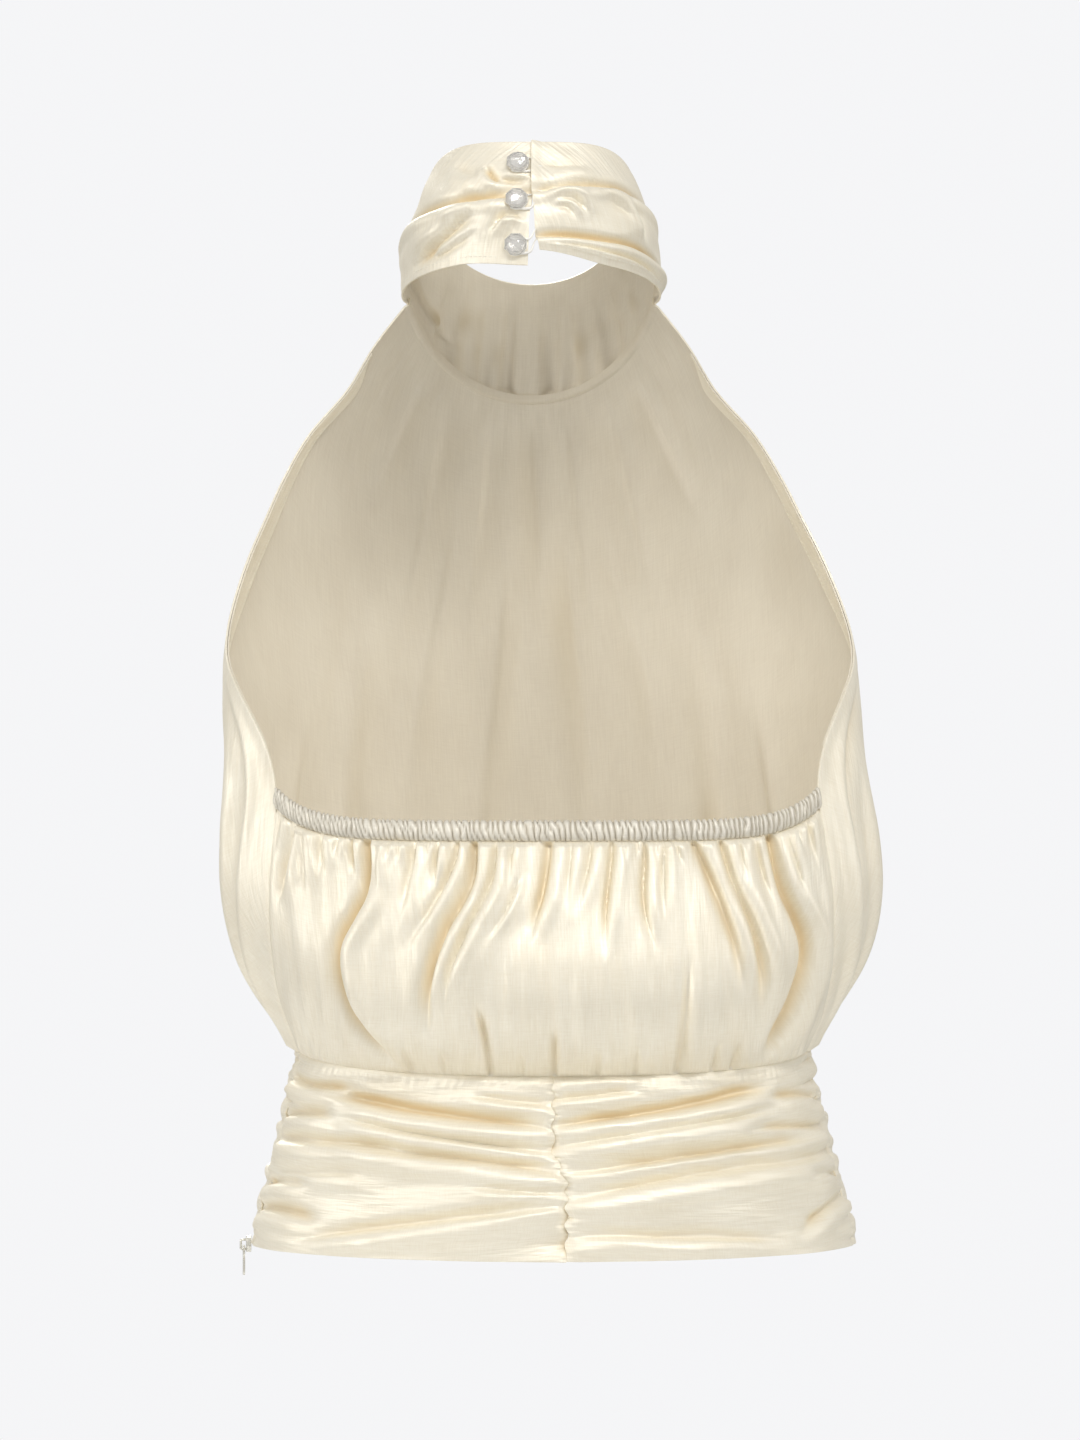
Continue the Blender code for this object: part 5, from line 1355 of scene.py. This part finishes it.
def tube_mesh(name, route, radius, material, thin_ends=0):
    """A round cord through the route with closed ends; its first and last steps may be thin."""
    curve = bpy.data.curves.new(name, "CURVE")
    curve.dimensions = "3D"
    curve.bevel_depth = radius
    curve.bevel_resolution = 4
    curve.use_fill_caps = True
    corners = add_line(curve, route)
    if thin_ends:
        for k, corner in enumerate(corners):
            inside = min(k, len(route) - 1 - k) / thin_ends
            corner.radius = 0.45 + 0.55 * smooth_step((inside - 0.6) / 0.4)
    mesh = mesh_of_curve(curve, material)
    mesh.shade_smooth()
    return mesh


def loop_route(button_up):
    """Out from under the right end, round the button and back, as a smooth open bow."""
    point, normal, rise = collar_spot(BUTTON_ACROSS, button_up)
    rise.normalize()
    to_left = rise.cross(normal).normalized()
    centre = point + normal * LOOP_LIFT
    bow = [centre + to_left * LOOP_REACH * math.cos(t) + rise * LOOP_REACH * math.sin(t) for t in LOOP_BOW]
    strands = {-1: [], 1: []}
    for side, strand in strands.items():
        for across, apart, lift in LOOP_STRAND:
            spot, way, _ = collar_spot(across * MM, button_up + side * apart * LOOP_REACH / COLLAR_HEIGHT)
            strand.append(spot + way * lift * MM)
    route = np.array([tuple(place) for place in strands[-1] + bow + strands[1][::-1]])
    far = np.concatenate([[0], np.linalg.norm(np.diff(route, axis=0), axis=1).cumsum()])
    at = np.linspace(0, far[-1], LOOP_STEPS)
    return np.stack([smooth_curve(at, far, row) for row in route.T], axis=-1)


loop_cord = cord_material()
for number, up in enumerate(BUTTON_HEIGHTS, start=1):
    name = f"button_loop_{number}"
    loop = new_object(name, tube_mesh(name, loop_route(up), LOOP_RADIUS, loop_cord, LOOP_THIN))
    seat(loop, f"loop_{number}")
print("loops:", len(BUTTON_HEIGHTS))

# %% [markdown]
# ## Stitches
# A sewing machine leaves short threads at even steps, so a small rounded stitch is instanced along a
# path: the tree spaces points along the path, puts a stitch on each, turns it along the path and
# makes it real. One tree serves the collar's foot, the facings and the zip's coil.

# %% A node tree that sews along a path
def stitch_tree():
    tree, given = new_tree(
        "stitches", Pitch=0.0025, Length=0.0018, Width=0.0002, Thickness=0.0002, Thread=None
    )
    path = add_node(tree, "GeometryNodeMeshToCurve", given["Geometry"]).outputs[0]
    spaced = add_node(
        tree, "GeometryNodeResampleCurve", Curve=path, Length=given["Pitch"], settings={"mode": "LENGTH"}
    )
    stitch = add_node(tree, "GeometryNodeMeshUVSphere", Segments=6, Rings=5, Radius=0.5)
    size = add_node(tree, "ShaderNodeCombineXYZ", given["Length"], given["Width"], given["Thickness"])
    tangent = add_node(tree, "GeometryNodeInputTangent").outputs[0]
    turn = add_node(tree, "FunctionNodeAlignRotationToVector", Vector=tangent, settings={"axis": "X"})
    copies = add_node(
        tree, "GeometryNodeInstanceOnPoints", Points=spaced.outputs[0], Instance=stitch.outputs[0],
        Rotation=turn.outputs[0], Scale=size.outputs[0]
    )
    finish_tree(tree, copies.outputs[0], given["Thread"])
    return tree


stitches = stitch_tree()


def sewn_path(name, lines, pitch, length, width, thickness, material):
    """A piece of stitches along several lines of points; the sizes are in millimetres."""
    ends = np.cumsum([len(line) for line in lines])
    edges = [(k, k + 1) for k in range(ends[-1]) if k + 1 not in ends]
    mesh = bpy.data.meshes.new(name)
    mesh.from_pydata(np.concatenate(lines), edges, [])
    piece = through_tree(
        new_object(name, mesh), stitches, Pitch=pitch * MM, Length=length * MM, Width=width * MM,
        Thickness=thickness * MM, Thread=material
    )
    return seat(piece)


STITCH_UP = 0.055
STITCH_LIFT = 0.05 * MM
thread = plain_material("ivory_thread", (0.90, 0.86, 0.74), 0.5, Sheen_Weight=0.3)
collar_lines = []
for first, last in ((3.5, 78), (-7, -78)):
    line, way, _ = collar_line(np.linspace(first, last, 60), STITCH_UP)
    collar_lines.append(line + way * STITCH_LIFT)
sewn_path("collar_stitches", collar_lines, 2.6, 1.9, 0.35, 0.35, thread)
sewn_path("facing_stitches", facing_lines, 2.6, 1.9, 0.3, 0.3, thread)

# %% [markdown]
# ## The zip's slider and pull
# The zip is hidden in the wearer's left side seam, so only its end shows: a small lacquered slider
# with a bail, and a flat pull that hangs from it. Both are built round the pull's pivot, whose place
# the solid model gives. The pull is its own piece, because it swings.

# %% Zip metal
UP = Vector((0, 0, 1))


def zip_material():
    colour = (0.80, 0.78, 0.70)
    material, tree, shader = new_material(
        "zip_lacquer", Base_Color=colour, Roughness=0.28, Metallic=0.55, Coat_Weight=0.5
    )
    place = add_node(tree, "ShaderNodeTexCoord").outputs["Object"]
    grain = add_node(tree, "ShaderNodeTexNoise", Vector=place, Scale=900.0, Detail=3.0).outputs["Fac"]
    roughness = ranged(tree, grain, 0.3, 0.7, 0.20, 0.38)
    feed(tree, shader, Roughness=roughness, Normal=bumped(tree, grain, 0.05, 0.4))
    return material


hinge = frame["joints"][0]
zip_lacquer = zip_material()
zip_out = UP.cross(Vector(hinge["axis"])).normalized()
zip_place = placed(zip_out, UP.cross(zip_out), UP, Vector(hinge["pos_m"]))
print("the pull swings about", [round(c, 4) for c in hinge["pos_m"]])


# %% Zip coil behind the left side seam
COIL_DEPTH = 2.9 * MM  # behind the outer face
COIL_FOOT, COIL_TOP = HEM - 7 * MM, 300 * MM  # down the garment
coil_line = []
for form, down in (
    (BAND, np.linspace(COIL_FOOT, WAIST_SEAM, 60)),
    (BODY, np.linspace(WAIST_SEAM - 2 * MM, COIL_TOP, 50)),
):
    coil_line.append(form_point(form, at_height(form, "edge", down), down))
coil_line = np.concatenate(coil_line) - np.array([COIL_DEPTH, 0, 0])
sewn_path("zip_coil", [coil_line], 1.25, 0.8, 3.0, 1.1, zip_lacquer)


# %% Slider
SLIDER_SIZE = (2.4 * MM, 5.2 * MM, 8.0 * MM)
FACE_OUT, FACE_SHARE = -1.1 * MM, 0.9  # the slider's face, from the pivot, and how wide it is
SLIDER_RISE = 1.3 * MM
SLIDER_SECTIONS = ((-0.5, 0.70), (-0.36, 0.86), (-0.15, 1.0), (0.15, 1.0), (0.38, 0.82), (0.5, 0.64))
BAIL_RADIUS, BAIL_CORNER = 0.57 * MM, 0.6 * MM
BAIL_ROOT, BAIL_REACH, BAIL_LOW, BAIL_HIGH = -1.7 * MM, 1.5 * MM, -1.4 * MM, 3.2 * MM

corners, faces = [], [(3, 2, 1, 0)]
depth, width, tall = SLIDER_SIZE
for share_up, share_wide in SLIDER_SECTIONS:
    half, z = width / 2 * share_wide, SLIDER_RISE + tall * share_up
    for x, y in ((-depth, -half), (0, -half * FACE_SHARE), (0, half * FACE_SHARE), (-depth, half)):
        corners.append((FACE_OUT + x, y, z))
last = len(corners) - 4
for low in range(0, last, 4):
    faces += [(low + k, low + (k + 1) % 4, low + 4 + (k + 1) % 4, low + 4 + k) for k in range(4)]
faces.append(range(last, last + 4))
slider = new_object("zip_slider_body", hard_mesh("slider_body", corners, faces, zip_place, zip_lacquer))
round_edges(slider, 0.35 * MM)
seat(slider, "zip_slider")

bail_route = [(BAIL_ROOT, 0, BAIL_LOW)]
for middle, start in ((BAIL_LOW + BAIL_CORNER, -90), (BAIL_HIGH - BAIL_CORNER, 0)):
    for turn in np.radians(start + np.linspace(0, 90, 6)):
        x, z = BAIL_CORNER * math.cos(turn), BAIL_CORNER * math.sin(turn)
        bail_route.append((BAIL_REACH - BAIL_CORNER + x, 0, middle + z))
bail_route.append((BAIL_ROOT, 0, BAIL_HIGH))
bail_route = [zip_place @ Vector(place) for place in bail_route]
seat(new_object("zip_bail", tube_mesh("zip_bail", bail_route, BAIL_RADIUS, zip_lacquer)))
print("slider faces:", len(slider.data.polygons))

# %% Pull
PULL_THICKNESS, PULL_WIDTH, PULL_FOOT_WIDTH, PULL_LENGTH = 1.0 * MM, 4.4 * MM, 3.4 * MM, 14.0 * MM
PULL_BAR, WINDOW_HALF, WINDOW_LENGTH = 0.5 * MM, 1.1 * MM, 3.4 * MM
PULL_NECK, PULL_NECK_SHARE = WINDOW_LENGTH + 1.6 * MM, 0.62


def pull_outline():
    """Head with its window, a waist, and a rounded tail."""
    head, foot = PULL_WIDTH / 2, PULL_FOOT_WIDTH / 2
    right = [(head, PULL_BAR), (head, -WINDOW_LENGTH), (PULL_NECK_SHARE * foot, -PULL_NECK)]
    right.append((foot, -PULL_NECK - 2 * MM))
    for turn in np.radians(np.linspace(0, -90, 7)):
        right.append((foot * math.cos(turn), -PULL_LENGTH + foot + foot * math.sin(turn)))
    return right + [(-x, y) for x, y in reversed(right[:-1])]


curve = bpy.data.curves.new("pull", "CURVE")
curve.dimensions = "2D"
curve.fill_mode = "BOTH"
curve.extrude = PULL_THICKNESS / 2
window = [(-WINDOW_HALF, -PULL_BAR), (WINDOW_HALF, -PULL_BAR)]
window += [(x, -WINDOW_LENGTH) for x, _ in reversed(window)]
for outline in (pull_outline(), window):
    add_line(curve, [(x, y, 0) for x, y in outline], closed=True)
upright = Matrix.Rotation(math.pi / 2, 4, "Z") @ Matrix.Rotation(math.pi / 2, 4, "X")
pull = new_object("zip_pull_tab", mesh_of_curve(curve, zip_lacquer, zip_place @ upright))
round_edges(pull, 0.15 * MM)
seat(pull, "zip_pull", "pull_tab")
print("pull length", round(PULL_LENGTH / MM, 1), "mm")
